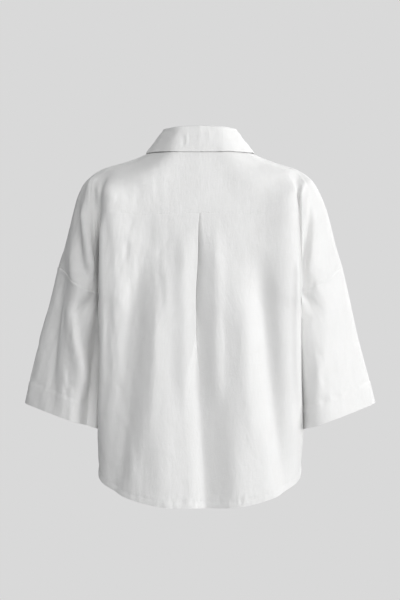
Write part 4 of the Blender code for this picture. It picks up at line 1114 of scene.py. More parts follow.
def make_back(finish):
    """Back panel: groove to groove below the yoke seam, with a piece of each arm back."""
    side_places = np.concatenate([dense(PLEAT_SIDE, GROOVE)[:-1],
                                  dense(GROOVE, YOKE_END_BACK)])[::-1]
    shares = stops(BACK_LENGTHS[0], ROW_PITCH, True, True)
    lower = stops(BACK_LENGTHS[1], ROW_PITCH, False, False)[1:]
    lower = ARMHOLE_ROW + (HEM_ROW - ARMHOLE_ROW) * lower
    upper = len(shares)
    signed, rows, deep = back_lattice(side_places, np.concatenate([shares, lower]), upper)
    plain = np.ones(signed.shape[2], bool)
    plain[len(side_places) + RAMP_POINTS:-len(side_places) - RAMP_POINTS] = False
    faces = []
    for k in (0, 1):
        parts = []
        for kind, use in (("ring", slice(0, upper)), ("trunk", slice(upper, None))):
            places = signed[use, k]
            if kind == "trunk":
                places = np.clip(places, -GROOVE, GROOVE)
            point, normal = both_sides(kind, places, rows[use, k])
            hem = hem_wall(kind, places, rows[use, k]) * plain * k
            parts.append(point - normal * (deep[use, k] + hem)[..., None])
        faces.append(np.concatenate(parts))
    hem_row = HEM_ROW - BODY_HEM / hem_row_length(signed[-1, 0])
    arm = np.count_nonzero(side_places > GROOVE)
    seam_lines["back_hem"] = at_row(faces[0][upper:, arm:-arm], lower, hem_row[arm:-arm])
    cells = np.ones((len(signed) - 1, signed.shape[2] - 1), bool)
    cells[upper - 1:, :arm] = False
    cells[upper - 1:, -arm:] = False
    return shell("back_cloth", faces[0], faces[1], cells, False, finish)


def at_row(points, numbers, wanted):
    """Points of a lattice where each column reaches its wanted row number."""
    line = np.arange(points.shape[1])
    i = np.clip(np.searchsorted(numbers, wanted) - 1, 0, len(numbers) - 2)
    share = ((wanted - numbers[i]) / (numbers[i + 1] - numbers[i]))[:, None]
    return points[i, line] * (1 - share) + points[i + 1, line] * share


def at_distance(points, run, wanted):
    """Points of a lattice where the run along each column first passes a wanted length."""
    line = np.arange(points.shape[1])
    i = (run > wanted).argmax(axis=0) - 1
    share = ((wanted - run[i, line]) / (run[i + 1, line] - run[i, line]))[:, None]
    return points[i, line] * (1 - share) + points[i + 1, line] * share


FRONT_LENGTHS = (270, 340)  # of the front above and below the armhole's row
FRONT_PITCH = 3.0           # between two rows
FRONT_EDGE = 13.0           # one place before centre front, where that place's width is taken
LAP_COLUMNS = 6             # past centre front


def make_front(name, side, finish):
    """One front: from the front yoke seam to past centre front, neckline to hem."""
    places = np.concatenate([dense(YOKE_END_FRONT, FRONT_GROOVE, 16)[:-1],
                             dense(FRONT_GROOVE, CENTRE_FRONT, 17)])
    shares = stops(FRONT_LENGTHS[0], FRONT_PITCH, False, True)
    numbers = stops(FRONT_LENGTHS[1], FRONT_PITCH, False, False)[1:]
    numbers = ARMHOLE_ROW + (HEM_ROW - ARMHOLE_ROW) * numbers
    rows = np.outer(np.concatenate([shares * ARMHOLE_ROW, numbers]), np.ones(len(places)))
    faces = [[], []]
    for kind, use in (("ring", slice(0, len(shares))), ("trunk", slice(len(shares), None))):
        row = rows[use]
        across = skin(kind, np.full(len(row), FRONT_EDGE), row[:, -1])[0][:, 0]
        lap = CENTRE_FRONT + np.outer(1 / across, np.linspace(0, LAP, LAP_COLUMNS + 1)[1:])
        place = np.concatenate([np.broadcast_to(places, row.shape), lap], axis=1)
        row = np.concatenate([row, np.repeat(row[:, -1:], LAP_COLUMNS, axis=1)], axis=1)
        if kind == "trunk":
            place = np.maximum(place, FRONT_GROOVE)
        inset = 0.0
        if side > 0:
            x = (CENTRE_FRONT - place) * across[:, None]
            inset = FRONT_STEP * falls(x, LAP, LAP_FADE)
        point, normal = cloth(kind, place, row, side, inset)
        wall = WALL + hem_wall(kind, place, row)
        faces[0].append(point)
        faces[1].append(point - normal * wall[..., None])
    outer, inner = np.concatenate(faces[0]), np.concatenate(faces[1])
    cells = np.ones((outer.shape[0] - 1, outer.shape[1] - 1), bool)
    arm = np.count_nonzero(places < FRONT_GROOVE)
    cells[len(shares) - 1:, :arm] = False
    hem_places = np.append(places[arm:], [CENTRE_FRONT] * LAP_COLUMNS)
    hem_row = HEM_ROW - BODY_HEM / hem_row_length(hem_places)
    seam_lines[name + "_hem"] = at_row(outer[len(shares):, arm:], numbers, hem_row)
    return shell(name + "_cloth", outer, inner, cells, False, finish)


SLEEVE_LENGTH, SLEEVE_PITCH = 216, 2.6  # from armhole to hem, and between two rows


def make_sleeve(name, side, finish):
    """A closed tube from the armhole seam to the hem, which is turned in."""
    inner_back = dense(0, 1)[:-1]
    arm = dense(GROOVE, FRONT_GROOVE)
    inner_front = dense(-1, 0)[1:-1]
    rows = stops(SLEEVE_LENGTH, SLEEVE_PITCH, True, False)
    rows = ARMHOLE_ROW + (CUFF_ROW - ARMHOLE_ROW) * rows
    parts = []
    for kind, places in (("inner", inner_back), ("arm", arm), ("inner", inner_front)):
        wide = np.broadcast_to(places, (len(rows), len(places)))
        tall = np.broadcast_to(rows[:, None], wide.shape)
        point, normal = cloth(kind, wide, tall, side)
        parts.append((point, normal, WALL + hem_wall(kind, wide, tall)))
    outer, normal, wall = (np.concatenate(each, axis=1) for each in zip(*parts))
    for k in (len(inner_back), len(inner_back) + len(arm) - 1):
        mean = normal[:, k - 1] + normal[:, k + 1]
        normal[:, k] = mean / np.linalg.norm(mean, axis=1)[:, None]
    hem_row = np.full(outer.shape[1], CUFF_ROW - SLEEVE_HEM / CUFF_ROW_LENGTH)
    line = at_row(outer, rows, hem_row)
    seam_lines[name + "_hem"] = np.concatenate([line, line[:1]])
    cells = np.ones((outer.shape[0] - 1, outer.shape[1]), bool)
    return shell(name + "_cloth", outer, outer - normal * wall[..., None], cells, True, finish)


COLLAR_CREASES = [          # on the collar's fall at the back, x and height
    Crease(0.9, 1.6, 0.0, 22, 24, 23, -2, 1),
    Crease(-1.6, 5.0, 0.3, 52, 33, 44, 16, 2),
    Crease(-0.7, 3.0, 0.0, 30, 20, 27, 0, 1),
    Crease(0.8, 5.0, 0.0, -12, 30, -16, 4, 1),
    Crease(-0.8, 6.0, 0.0, -44, 28, -52, 8, 2),
]
COLLAR_SHEET = 1.2          # wall of the collar as shown
COLLAR_LIFT = 0.5           # share of its solid's lift off the cloth below
COLLAR_PUCKER = 0.75
COLLAR_PUCKERS = (Layer(1, 4.2, 9, 81), Layer(0.5, 2.6, 7, 82))
COLLAR_UNEVEN = (Layer(1, 45, 1, 83, start=0.5),)   # the puckers come and go round the neck
COLLAR_WAVES = (Layer(0.7, 24, 18, 84), Layer(0.25, 6, 9, 85))
COLLAR_TOPSTITCH = 5.0      # from the fall's edge
COLLAR_END = COLLAR_STATIONS[-1].place  # where the collar's free ends lie
COLLAR_TURN = 12            # place from which its columns are closer together
COLLAR_BACK_Y = 20          # the creases lie on its back, past this
NECK_STEP = 0.1             # places, for the way round the neck


def collar_station(places, side, spans):
    """Middle line and normals of the collar's section at each of the places. spans holds the
    shares up the stand, round the roll and down the fall."""
    table = np.array(COLLAR_STATIONS)
    column = {name: table_curve(table[:, 0], table[:, k])(places)[:, None]
              for k, name in enumerate(Collar._fields)}
    column["lift"] = column["lift"] * COLLAR_LIFT
    seam = skin("ring", places, 0.0, side)[0]
    along = skin("ring", np.minimum(places + NECK_STEP, CENTRE_FRONT), 0.0, side)[0]
    along = along - skin("ring", places - NECK_STEP, 0.0, side)[0]
    away = np.stack([along[:, 1], -along[:, 0], np.zeros(len(places))], axis=1)
    away *= -side
    away /= np.linalg.norm(away, axis=1)[:, None]
    edge, edge_normal = skin("ring", column["edge_place"][:, 0], column["edge_row"][:, 0], side)
    edge = edge + edge_normal * column["lift"]
    up = np.array([0, 0, 1.0])
    top = seam + up * column["stand"] - away * column["lean"]
    roll = top + away * COLLAR_ROLL
    line = [seam + (top - seam) * share for share in spans[0]]
    for angle in pi * spans[1]:
        line.append(roll - away * cos(angle) * COLLAR_ROLL + up * sin(angle) * COLLAR_ROLL)
    start = line[-1]
    for share in spans[2]:
        line.append(start + (edge - start) * share
                    + COLLAR_BULGE * sin(pi * share) * edge_normal)
    line = np.array(line)
    slope = np.gradient(line, axis=0)
    normal = np.cross(slope, along / np.linalg.norm(along, axis=1)[:, None])
    normal *= -side
    normal /= np.linalg.norm(normal, axis=2)[:, :, None]
    return line, normal


COLLAR_SPANS = (np.linspace(0.02, 0.92, 6), np.linspace(0, 1, 8),
                np.concatenate([np.linspace(0, 1, 14)[1:-1], [0.965, 1.0]]))


def collar_lattice(stand, roll, fall):
    """The collar's middle face and normals, from the wearer's left end to the right."""
    stations = np.concatenate([dense(0, COLLAR_TURN, 13)[1:],
                               np.linspace(COLLAR_TURN, COLLAR_END, 28)[1:]])
    parts = [collar_station(places, side, (stand, roll, fall))
             for places, side in ((stations[::-1], 1), (np.array([0.0]), 1), (stations, -1))]
    line, normal = (np.concatenate(each, axis=1) for each in zip(*parts))
    drop = np.concatenate([0 * stand, 0 * roll, fall])[:, None]
    round_neck = lengths(line, 1)
    shift = crease_shift(COLLAR_CREASES, line[..., 0].ravel(), line[..., 2].ravel())
    shift = shift.reshape(drop.shape[0], -1) * (line[..., 1] > COLLAR_BACK_Y)
    reach = np.linalg.norm(line - line[-1], axis=2)
    uneven = 0.45 + 0.55 * smooth(layered(COLLAR_UNEVEN, round_neck, 0 * reach) + 0.5)
    pucker = layered(COLLAR_PUCKERS, round_neck, reach) * uneven
    shift += COLLAR_PUCKER * pucker * ridge(reach - COLLAR_TOPSTITCH, 5.5)
    shift += layered(COLLAR_WAVES, round_neck, reach)
    shift *= rises(drop, 0, 0.12) * rises(drop, 0, 0.2)
    return line + normal * shift[..., None], normal


def make_collar(finish):
    """One sheet: up from the neck seam, over the roll, and down to its free edge."""
    line, normal = collar_lattice(*COLLAR_SPANS)
    half = normal * COLLAR_SHEET / 2
    up = np.linalg.norm(line - line[-1], axis=2)[::-1]
    seam_lines["collar_edge"] = at_distance((line + half)[::-1], up, COLLAR_TOPSTITCH)
    cells = np.ones((line.shape[0] - 1, line.shape[1] - 1), bool)
    return shell("collar_cloth", line + half, line - half, cells, False, finish)


# ---------------------------------------------------------------- stitches

STITCH_SOCKETS = (("Line", "Geometry"), ("Pitch", "Float"), ("Length", "Float"),
                  ("Thickness", "Float"), ("Wobble", "Float"), ("Seed", "Int"),
                  ("Thread", "Material"))
STITCH_NODES = (("given", "NodeGroupInput"), ("result", "NodeGroupOutput"),
                ("line", "GeometryNodeMeshToCurve"), ("spots", "GeometryNodeCurveToPoints"),
                ("drift", "FunctionNodeRandomValue"), ("scaled", "ShaderNodeVectorMath"),
                ("way", "ShaderNodeVectorMath"), ("turn", "FunctionNodeAlignRotationToVector"),
                ("size", "ShaderNodeCombineXYZ"), ("stitch", "GeometryNodeMeshUVSphere"),
                ("place", "GeometryNodeInstanceOnPoints"),
                ("real", "GeometryNodeRealizeInstances"), ("finish", "GeometryNodeSetMaterial"))
STITCH_VALUES = (("drift", "Min", (-1, -1, -1)), ("drift", "Max", (1, 1, 1)),
                 ("stitch", "Segments", 6), ("stitch", "Rings", 4), ("stitch", "Radius", 0.5))
STITCH_LINKS = (("given", "Line", "line", "Mesh"), ("line", "Curve", "spots", "Curve"),
                ("given", "Pitch", "spots", "Length"), ("given", "Seed", "drift", "Seed"),
                ("drift", "Value", "scaled", 0), ("given", "Wobble", "scaled", "Scale"),
                ("spots", "Tangent", "way", 0), ("scaled", "Vector", "way", 1),
                ("way", "Vector", "turn", "Vector"), ("given", "Length", "size", "X"),
                ("given", "Thickness", "size", "Y"), ("given", "Thickness", "size", "Z"),
                ("spots", "Points", "place", "Points"), ("stitch", "Mesh", "place", "Instance"),
                ("turn", "Rotation", "place", "Rotation"), ("size", "Vector", "place", "Scale"),
                ("place", "Instances", "real", "Geometry"),
                ("real", "Geometry", "finish", "Geometry"),
                ("given", "Thread", "finish", "Material"),
                ("finish", "Geometry", "result", "Stitches"))


def stitch_tree():
    """Node tree that lays thread stitches along the lines of a mesh."""
    tree = bpy.data.node_groups.new("stitch_line", "GeometryNodeTree")
    for name, kind in STITCH_SOCKETS:
        tree.interface.new_socket(name, in_out="INPUT", socket_type="NodeSocket" + kind)
    tree.interface.new_socket("Stitches", in_out="OUTPUT", socket_type="NodeSocketGeometry")
    nodes = {name: tree.nodes.new(kind) for name, kind in STITCH_NODES}
    nodes["spots"].mode = "LENGTH"
    nodes["drift"].data_type = "FLOAT_VECTOR"
    nodes["scaled"].operation = "SCALE"
    nodes["turn"].axis = "X"
    for name, socket, value in STITCH_VALUES:
        nodes[name].inputs[socket].default_value = value
    for start, output, end, socket in STITCH_LINKS:
        tree.links.new(nodes[start].outputs[output], nodes[end].inputs[socket])
    return tree


def sew(name, tree, paths, thread, pitch=2.7, length=2.1, thickness=0.5, wobble=0.12, seed=1):
    """Stitches along each path, a list of points in millimetres, as one plain mesh."""
    points, edges = [], []
    for path in paths:
        start = len(points)
        points += [tuple(point) for point in np.asarray(path) * MM]
        edges += [(k, k + 1) for k in range(start, len(points) - 1)]
    mesh = bpy.data.meshes.new(name + "_line")
    mesh.from_pydata(points, edges, [])
    guide = placed(name + "_line", mesh)
    steps = guide.modifiers.new("stitches", "NODES")
    steps.node_group = tree
    values = {"Pitch": pitch * MM, "Length": length * MM, "Thickness": thickness * MM,
              "Wobble": wobble, "Seed": seed, "Thread": thread}
    for socket in tree.interface.items_tree:
        if socket.in_out == "INPUT" and socket.name in values:
            steps[socket.identifier] = values[socket.name]
    graph = bpy.context.evaluated_depsgraph_get()
    made = bpy.data.meshes.new_from_object(guide.evaluated_get(graph))
    bpy.data.objects.remove(guide, do_unlink=True)
    made.name = name
    made.shade_smooth()
    return placed(name, made)


THREAD_STAND = 0.05         # how far a thread's middle stands off the cloth
YOKE_TOPSTITCH = 1.6        # above the yoke seam
ARM_TOPSTITCH = 6.0         # below the armhole seam
PLACKET_STITCHES = (13.0, -13.0)    # to each side of centre front
PLACKET_ROWS = (0.15, 13.9, 240)    # first and last row, and number of points
SHOULDER_ROWS = (0.25, 7.8, 90)     # the same down the yoke's front seam
SEAM_MARGIN = 0.05          # places between a line of stitches and a seam that it ends at
HOLE_LENGTH = 15.0          # of a buttonhole
SATIN_PITCH = 0.42
BAR_ROWS = 0.01             # half the height of the bar at each end of a buttonhole, in rows
HEIGHT_SAMPLES = 281        # rows tried when a height is looked up


def raised(kind, places, rows, side):
    """Points of a line of thread that lies on the cloth."""
    point, normal = cloth(kind, places, rows, side)
    return point + normal * THREAD_STAND


def yoke_lines():
    """Stitched lines above the back yoke seam, and along the yoke's front seam on each side."""
    places = dense(-YOKE_END_BACK + STEP, YOKE_END_BACK - STEP, 12)
    rows = yoke_seam(np.abs(places)) - YOKE_TOPSTITCH / YOKE_ROW
    left = raised("ring", np.abs(places), rows, 1)
    right = raised("ring", np.abs(places), rows, -1)
    paths = [np.where((places >= 0)[:, None], left, right)]
    down = np.linspace(*SHOULDER_ROWS)
    for side in (1, -1):
        paths.append(raised("ring", np.full_like(down, YOKE_END_FRONT - SEAM_MARGIN), down, side))
    return paths


def armhole_lines():
    """A stitched line round each sleeve, below its armhole seam."""
    places = dense(GROOVE + SEAM_MARGIN, FRONT_GROOVE - SEAM_MARGIN, 20)
    row = ARMHOLE_ROW + ARM_TOPSTITCH / ROW_STEP
    return [raised("arm", places, np.full_like(places, row), side) for side in (1, -1)]


def down_front(x, rows):
    """Points of the upper front at a distance x from centre front, on the wearer's left if
    it is positive."""
    points = []
    for kind, use in (("ring", rows[rows < ARMHOLE_ROW]), ("trunk", rows[rows >= ARMHOLE_ROW])):
        across = -skin(kind, np.full_like(use, FRONT_EDGE), use, -1)[0][:, 0]
        points.append(raised(kind, CENTRE_FRONT + x / across, use, -1))
    return np.concatenate(points)


def row_at_height(height):
    """Row at centre front for a height in millimetres."""
    rows = np.linspace(0, HEM_ROW, HEIGHT_SAMPLES)
    heights = skin("trunk", np.full_like(rows, CENTRE_FRONT), rows)[0][:, 2]
    return float(np.interp(-height, -heights, rows))


def button_height(number):
    return BUTTON_TOP_Z - BUTTON_STEP * (number - 1)


def buttonhole_stitches(number):
    """Short stitches side by side round a slit at a button, each as its middle and its way."""
    height = button_height(number)
    low, high = row_at_height(height - HOLE_LENGTH / 2), row_at_height(height + HOLE_LENGTH / 2)
    rows = np.linspace(high, low, int(HOLE_LENGTH / SATIN_PITCH))
    paths = []
    for x in (1.0, -1.0):
        near, far = down_front(x, rows), down_front(x + 1.0, rows)
        paths += [np.array([a, b]) for a, b in zip(near, far)]
    for row in (high, low):
        bar = np.linspace(row - BAR_ROWS, row + BAR_ROWS, 4)
        paths += [np.array([a, b]) for a, b in zip(down_front(0.0, bar), down_front(1.0, bar))]
    return paths


# ---------------------------------------------------------------- buttons

BUTTON_SEGMENTS = 48
HOLE_SPREAD = 1.55          # of the four holes from the middle, along each way
HOLE_RADIUS = 0.85
TURN_STEP, TURN_RANGE = 37, 24  # each button is turned a little further, within this range
THREAD_STRANDS = (-0.35, 0.0, 0.35)
THREAD_HEIGHT = 1.75        # of the threads above the button's back, just over its dish
RIM_MIDDLE = (4.65, 1.45)   # centre of the rounded rim's section: radius and height
RIM_RADIUS = 0.95
BUTTON_BACK = [(0, 0.25), (3.4, 0.25), (4.7, 0.45)]
BUTTON_DISH = [(4.1, 2.22), (3.75, 1.95), (3.3, 1.72), (2.6, 1.6), (0, 1.55)]


def turned(name, profile, segments):
    """Solid turned about Z from (radius, height) points, in millimetres."""
    shape = bmesh.new()
    rings = []
    for radius, height in profile:
        if radius == 0:
            rings.append([shape.verts.new((0, 0, height))])
            continue
        rings.append([shape.verts.new((radius * cos(2 * pi * k / segments),
                                       radius * sin(2 * pi * k / segments), height))
                      for k in range(segments)])
    for low, high in zip(rings, rings[1:]):
        for k in range(segments):
            m = (k + 1) % segments
            loop = [low[k % len(low)], low[m % len(low)], high[m % len(high)], high[k % len(high)]]
            shape.faces.new(list(dict.fromkeys(loop)))
    bmesh.ops.recalc_face_normals(shape, faces=shape.faces)
    mesh = bpy.data.meshes.new(name)
    shape.to_mesh(mesh)
    shape.free()
    return mesh


def drilled_button():
    """Mesh of one button lying flat, with a raised rim and four holes, in millimetres."""
    rim = [(RIM_MIDDLE[0] + RIM_RADIUS * cos(t), RIM_MIDDLE[1] + RIM_RADIUS * sin(t))
           for t in np.linspace(-1.3, 1.57, 9)]
    body = placed("button_blank", turned("button_blank", BUTTON_BACK + rim + BUTTON_DISH,
                                         BUTTON_SEGMENTS))
    drill = turned("button_drill", [(0, -1), (HOLE_RADIUS, -1), (HOLE_RADIUS, 4), (0, 4)], 16)
    shape = bmesh.new()
    for x in (-HOLE_SPREAD, HOLE_SPREAD):
        for y in (-HOLE_SPREAD, HOLE_SPREAD):
            start = len(shape.verts)
            shape.from_mesh(drill)
            shape.verts.ensure_lookup_table()
            for vert in shape.verts[start:]:
                vert.co += Vector((x, y, 0))
    shape.to_mesh(drill)
    shape.free()
    tool = placed("button_drill", drill)
    cut = body.modifiers.new("holes", "BOOLEAN")
    cut.operation, cut.solver, cut.object = "DIFFERENCE", "EXACT", tool
    graph = bpy.context.evaluated_depsgraph_get()
    made = bpy.data.meshes.new_from_object(body.evaluated_get(graph))
    for old in (body, tool):
        bpy.data.objects.remove(old, do_unlink=True)
    return made


def make_button(number, blank, finish):
    """Button on the upper front, with the paths of its threads and its shank."""
    height = button_height(number)
    row = row_at_height(height)
    kind = "ring" if row < ARMHOLE_ROW else "trunk"
    point, normal = skin(kind, np.array([float(CENTRE_FRONT)]), row, -1)
    centre, out = point[0], normal[0]
    right = np.array([1.0, 0, 0])
    up = np.cross(right, out)
    up *= np.sign(up[2])
    angle = radians((number * TURN_STEP) % TURN_RANGE - TURN_RANGE / 2)
    along = cos(angle) * right + sin(angle) * up
    over = cos(angle) * up - sin(angle) * right
    if np.dot(np.cross(along, over), out) < 0:
        along = -along
    mesh = blank.copy()
    mesh.name = f"button_{number}_turned"
    flat = np.empty(len(mesh.vertices) * 3)
    mesh.vertices.foreach_get("co", flat)
    flat = flat.reshape(-1, 3)
    base = centre + out * BUTTON_LIFT
    spots = base + flat[:, :1] * along + flat[:, 1:2] * over + flat[:, 2:] * out
    mesh.vertices.foreach_set("co", (spots * MM).ravel())
    mesh.shade_smooth()
    mesh.set_sharp_from_angle(angle=radians(38))
    mesh.materials.clear()
    mesh.materials.append(finish)
    piece = placed(mesh.name, mesh)
    strands = []
    for row_y in (-HOLE_SPREAD, HOLE_SPREAD):
        for shift in THREAD_STRANDS:
            middle = base + out * THREAD_HEIGHT + over * (row_y + shift)
            strands.append(np.array([middle, middle + along]))
    shank = [np.array([base + over * y - out * 0.2, base + over * y + out * 0.4]) for y in (-1, 1)]
    return piece, strands, shank


# ---------------------------------------------------------------- finishes

class Finish:
    """A material with its shader, and short ways to add nodes to it."""

    def __init__(self, name, colour, roughness, shader=None):
        self.material = bpy.data.materials.new(name)
        self.material.use_nodes = True
        self.tree = self.material.node_tree
        self.shader = self.tree.nodes["Principled BSDF"]
        given = {"Base Color": (*colour, 1.0), "Roughness": roughness, **(shader or {})}
        for socket, value in given.items():
            self.shader.inputs[socket].default_value = value

    def node(self, kind, sockets=None, **settings):
        made = self.tree.nodes.new(kind)
        for name, value in settings.items():
            setattr(made, name, value)
        for name, value in (sockets or {}).items():
            made.inputs[name].default_value = value
        return made

    def join(self, start, end):
        self.tree.links.new(start, end)

    def drive(self, socket, start):
        """Joins a node's output to one of the shader's own sockets."""
        self.join(start, self.shader.inputs[socket])

    def spot(self):
        return self.node("ShaderNodeTexCoord").outputs["Object"]

    def mapped(self, start, scale):
        node = self.node("ShaderNodeMapping", {"Scale": scale})
        self.join(start, node.inputs["Vector"])
        return node.outputs["Vector"]

    def noise(self, vector, scale, detail=2.0):
        node = self.node("ShaderNodeTexNoise", {"Scale": scale, "Detail": detail})
        self.join(vector, node.inputs["Vector"])
        return node.outputs["Fac"]

    def bands(self, vector, way, scale, distortion, detail, detail_scale):
        node = self.node("ShaderNodeTexWave", {"Scale": scale, "Distortion": distortion,
                                               "Detail": detail, "Detail Scale": detail_scale},
                         wave_type="BANDS", bands_direction=way)
        self.join(vector, node.inputs["Vector"])
        return node.outputs["Fac"]

    def ranged(self, start, low, high, to_low, to_high):
        node = self.node("ShaderNodeMapRange", {"From Min": low, "From Max": high,
                                                "To Min": to_low, "To Max": to_high})
        self.join(start, node.inputs["Value"])
        return node.outputs["Result"]

    def maths(self, operation, first, second):
        node = self.node("ShaderNodeMath", operation=operation)
        for k, value in enumerate((first, second)):
            if isinstance(value, (int, float)):
                node.inputs[k].default_value = value
            else:
                self.join(value, node.inputs[k])
        return node.outputs["Value"]

    def blend(self, share, first, second):
        """Colour between two plain colours."""
        node = self.node("ShaderNodeMix", data_type="RGBA")
        self.join(share, node.inputs["Factor"])
        for name, colour in (("A", first), ("B", second)):
            socket = [s for s in node.inputs if s.name == name and s.type == "RGBA"][0]
            socket.default_value = (*colour, 1.0)
        return [s for s in node.outputs if s.type == "RGBA"][0]

    def bump(self, height, distance, below=None, strength=1.0):
        node = self.node("ShaderNodeBump", {"Distance": distance, "Strength": strength})
        self.join(height, node.inputs["Height"])
        if below is not None:
            self.join(below, node.inputs["Normal"])
        return node.outputs["Normal"]


YARN = 0.00062              # from one yarn of the linen to the next, in metres
WAVE_SCALE = 2 * pi / 20    # scale at which a band texture has one band to a unit
SLUB_STRETCHES = (("X", (1600, 55, 1)), ("Y", (55, 1600, 1)))   # thick stretches of each yarn

LINEN_WHITE, SLUB_WHITE = (0.84, 0.84, 0.835), (0.77, 0.765, 0.755)
THREAD_WHITE = (0.84, 0.84, 0.835)
THREAD_LIGHT, THREAD_SHADE = (0.87, 0.87, 0.865), (0.76, 0.76, 0.755)
SHELL_WHITE = (0.86, 0.85, 0.82)
SHELL_LIGHT, SHELL_SHADE = (0.88, 0.87, 0.845), (0.72, 0.73, 0.71)


def linen_finish():
    """Plain-woven washed linen, on the chart of the cut piece."""
    finish = Finish("washed_linen", LINEN_WHITE, 0.9,
                    {"Sheen Weight": 0.12, "Sheen Roughness": 0.5, "Specular IOR Level": 0.25})
    chart = finish.node("ShaderNodeUVMap", uv_map="cut").outputs["UV"]
    yarns, slubs = [], []
    for way, stretch in SLUB_STRETCHES:
        yarns.append(finish.bands(chart, way, WAVE_SCALE / YARN, 1.2, 1.0, 0.12))
        thick = finish.noise(finish.mapped(chart, stretch), 1.0, 1.0)
        slubs.append(finish.ranged(thick, 0.35, 0.72, 0.0, 1.0))
    weave = finish.maths("ADD", *yarns)
    slub = finish.maths("MAXIMUM", *slubs)
    body = finish.maths("ADD", weave, finish.maths("MULTIPLY", slub, 0.9))
    crumple = finish.noise(finish.mapped(chart, (1.0, 0.45, 1.0)), 90.0, 3.0)
    crackle = finish.noise(finish.mapped(chart, (1.0, 0.3, 1.0)), 260.0)
    soft = finish.maths("ADD", crumple, finish.maths("MULTIPLY", crackle, 0.4))
    finish.drive("Normal", finish.bump(body, 0.00011, finish.bump(soft, 0.0006), 0.8))
    patches = finish.ranged(finish.noise(chart, 24.0), 0.3, 0.7, 0.0, 0.22)
    share = finish.maths("ADD", finish.maths("MULTIPLY", slub, 0.4), patches)
    finish.drive("Base Color", finish.blend(share, LINEN_WHITE, SLUB_WHITE))
    finish.drive("Roughness", finish.ranged(slub, 0.0, 1.0, 0.92, 0.8))
    return finish.material


def thread_finish():
    """White sewing thread, a little glossier than the linen."""
    finish = Finish("sewing_thread", THREAD_WHITE, 0.6, {"Sheen Weight": 0.2})
    twist = finish.noise(finish.spot(), 2400.0, 1.0)
    finish.drive("Base Color", finish.blend(twist, THREAD_LIGHT, THREAD_SHADE))
    finish.drive("Normal", finish.bump(twist, 0.00012))
    return finish.material


def shell_finish():
    """Polished white shell with faint growth bands."""
    finish = Finish("white_shell", SHELL_WHITE, 0.22,
                    {"Coat Weight": 0.35, "Coat Roughness": 0.12})
    spot = finish.spot()
    cloud = finish.noise(spot, 210.0, 3.0)
    growth = finish.bands(spot, "DIAGONAL", 190.0, 5.0, 2.0, 1.2)
    share = finish.maths("MULTIPLY", growth, cloud)
    finish.drive("Base Color", finish.blend(share, SHELL_LIGHT, SHELL_SHADE))
    finish.drive("Roughness", finish.ranged(cloud, 0.3, 0.7, 0.16, 0.34))
    finish.drive("Normal", finish.bump(growth, 0.00003))
    return finish.material


# ---------------------------------------------------------------- the blouse

linen = linen_finish()
thread = thread_finish()
shell_white = shell_finish()

panels = {
    "yoke": make_yoke(linen),
    "back": make_back(linen),
    "front_left": make_front("front_left", 1, linen),
    "front_right": make_front("front_right", -1, linen),
    "sleeve_left": make_sleeve("sleeve_left", 1, linen),
    "sleeve_right": make_sleeve("sleeve_right", -1, linen),
    "collar": make_collar(linen),
}

tree = stitch_tree()
placket_rows = np.linspace(*PLACKET_ROWS)
body_hems = ("back_hem", "front_left_hem", "front_right_hem")
cuff_hems = ("sleeve_left_hem", "sleeve_right_hem")
button_numbers = range(1, BUTTON_COUNT + 1)
stitched = [
    sew("hem_stitches", tree, [seam_lines[name] for name in body_hems], thread),
    sew("cuff_stitches", tree, [seam_lines[name] for name in cuff_hems], thread, seed=2),
    sew("yoke_stitches", tree, yoke_lines(), thread, seed=3),
    sew("armhole_stitches", tree, armhole_lines(), thread, seed=4),
    sew("collar_stitches", tree, [seam_lines["collar_edge"]], thread, seed=5),
    sew("placket_stitches", tree, [down_front(x, placket_rows) for x in PLACKET_STITCHES],
        thread, seed=6),
    sew("buttonhole_stitches", tree,
        [path for number in button_numbers for path in buttonhole_stitches(number)],
        thread, pitch=10, length=1.9, thickness=0.42, wobble=0.06, seed=7),
]
blank = drilled_button()
strands, shanks = [], []
for number in button_numbers:
    piece, strand, shank = make_button(number, blank, shell_white)
    strands += strand
    shanks += shank
    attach(piece, "root")
    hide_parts(f"button_{number}")
stitched.append(sew("button_threads", tree, strands, thread, pitch=10, length=3.7,
                    thickness=0.5, wobble=0.05, seed=8))
stitched.append(sew("button_shanks", tree, shanks, thread, pitch=10, length=2.4,
                    thickness=1.6, wobble=0.0, seed=9))

for node, piece in panels.items():
    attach(piece, "root")
    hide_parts(node)
for piece in stitched:
    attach(piece, "root")

# ---------------------------------------------------------------- camera, lights and floor

VIEW_HEIGHT = 0.99          # of the picture at the neck opening, in metres
CAMERA_Y, CAMERA_Z = 3.5, -0.248
SENSOR = 36                 # longer side of the camera's film, in the unit of its lens
MIDDLE = (0, 0, -0.27)      # what the lights point at
BACKDROP = (0.694, 0.694, 0.694, 1)
AROUND = (0.31, 0.313, 0.316, 1)    # light of the room
FLOOR_RADIUS, FLOOR_Z = 0.62, -0.9
FLOOR_GREY, FLOOR_LIGHT, FLOOR_SHADE = (0.70, 0.70, 0.70), (0.71, 0.71, 0.71), (0.68, 0.68, 0.685)

Light = namedtuple("Light", "name place size power")
LIGHTS = [
    Light("key_light", (-3.2, 1.35, 0.25), (1.3, 1.6), 73),
    Light("high_light", (-0.3, 3.15, 1.35), (1.8, 1.4), 59),
    Light("front_light", (-1.6, -2.9, 1.3), (2.0, 2.0), 100),
]


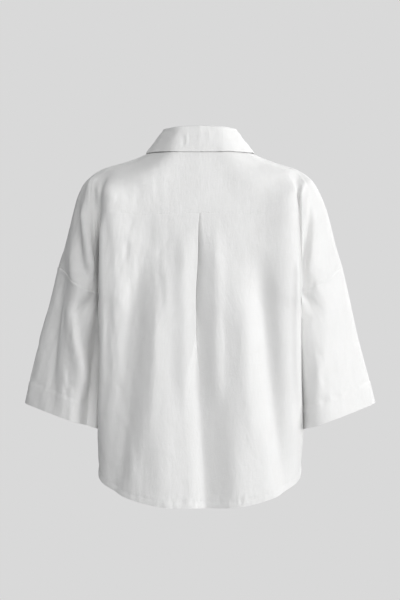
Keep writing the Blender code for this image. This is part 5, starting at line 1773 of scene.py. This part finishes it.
def set_camera():
    """Camera behind the back, level, with the whole blouse in view."""
    lens = bpy.data.cameras.new("camera")
    lens.lens = SENSOR * CAMERA_Y / VIEW_HEIGHT
    camera = placed("camera", lens)
    camera.location = (0, CAMERA_Y, CAMERA_Z)
    camera.rotation_euler = (radians(90), 0, radians(180))
    bpy.context.scene.camera = camera


def set_light(light):
    lamp = bpy.data.lights.new(light.name, "AREA")
    lamp.shape, lamp.energy = "RECTANGLE", light.power
    lamp.size, lamp.size_y = light.size
    thing = placed(light.name, lamp)
    thing.location = light.place
    way = Vector(MIDDLE) - Vector(light.place)
    thing.rotation_euler = way.to_track_quat("-Z", "Y").to_euler()


def set_studio():
    """Even light of a pale room, and the plain backdrop that the camera sees."""
    world = bpy.data.worlds.new("studio")
    bpy.context.scene.world = world
    world.use_nodes = True
    air = world.node_tree
    seen, around = air.nodes["Background"], air.nodes.new("ShaderNodeBackground")
    seen.inputs["Color"].default_value = BACKDROP
    around.inputs["Color"].default_value = AROUND
    which, path = air.nodes.new("ShaderNodeMixShader"), air.nodes.new("ShaderNodeLightPath")
    for start, end in ((path.outputs["Is Camera Ray"], which.inputs["Fac"]),
                       (around.outputs["Background"], which.inputs[1]),
                       (seen.outputs["Background"], which.inputs[2]),
                       (which.outputs["Shader"], air.nodes["World Output"].inputs["Surface"])):
        air.links.new(start, end)
    bpy.context.scene.view_settings.view_transform = "Standard"


def make_floor():
    """A pale disc well below the hem."""
    mesh = bpy.data.meshes.new("floor")
    shape = bmesh.new()
    bmesh.ops.create_circle(shape, cap_ends=True, segments=96, radius=FLOOR_RADIUS)
    bmesh.ops.translate(shape, verts=shape.verts, vec=(0, 0, FLOOR_Z))
    shape.to_mesh(mesh)
    shape.free()
    plaster = Finish("pale_floor", FLOOR_GREY, 0.85)
    plaster.drive("Base Color", plaster.blend(plaster.noise(plaster.spot(), 6.0, 3.0),
                                              FLOOR_LIGHT, FLOOR_SHADE))
    mesh.materials.append(plaster.material)
    return placed("floor", mesh)


set_camera()
for light in LIGHTS:
    set_light(light)
set_studio()
make_floor()
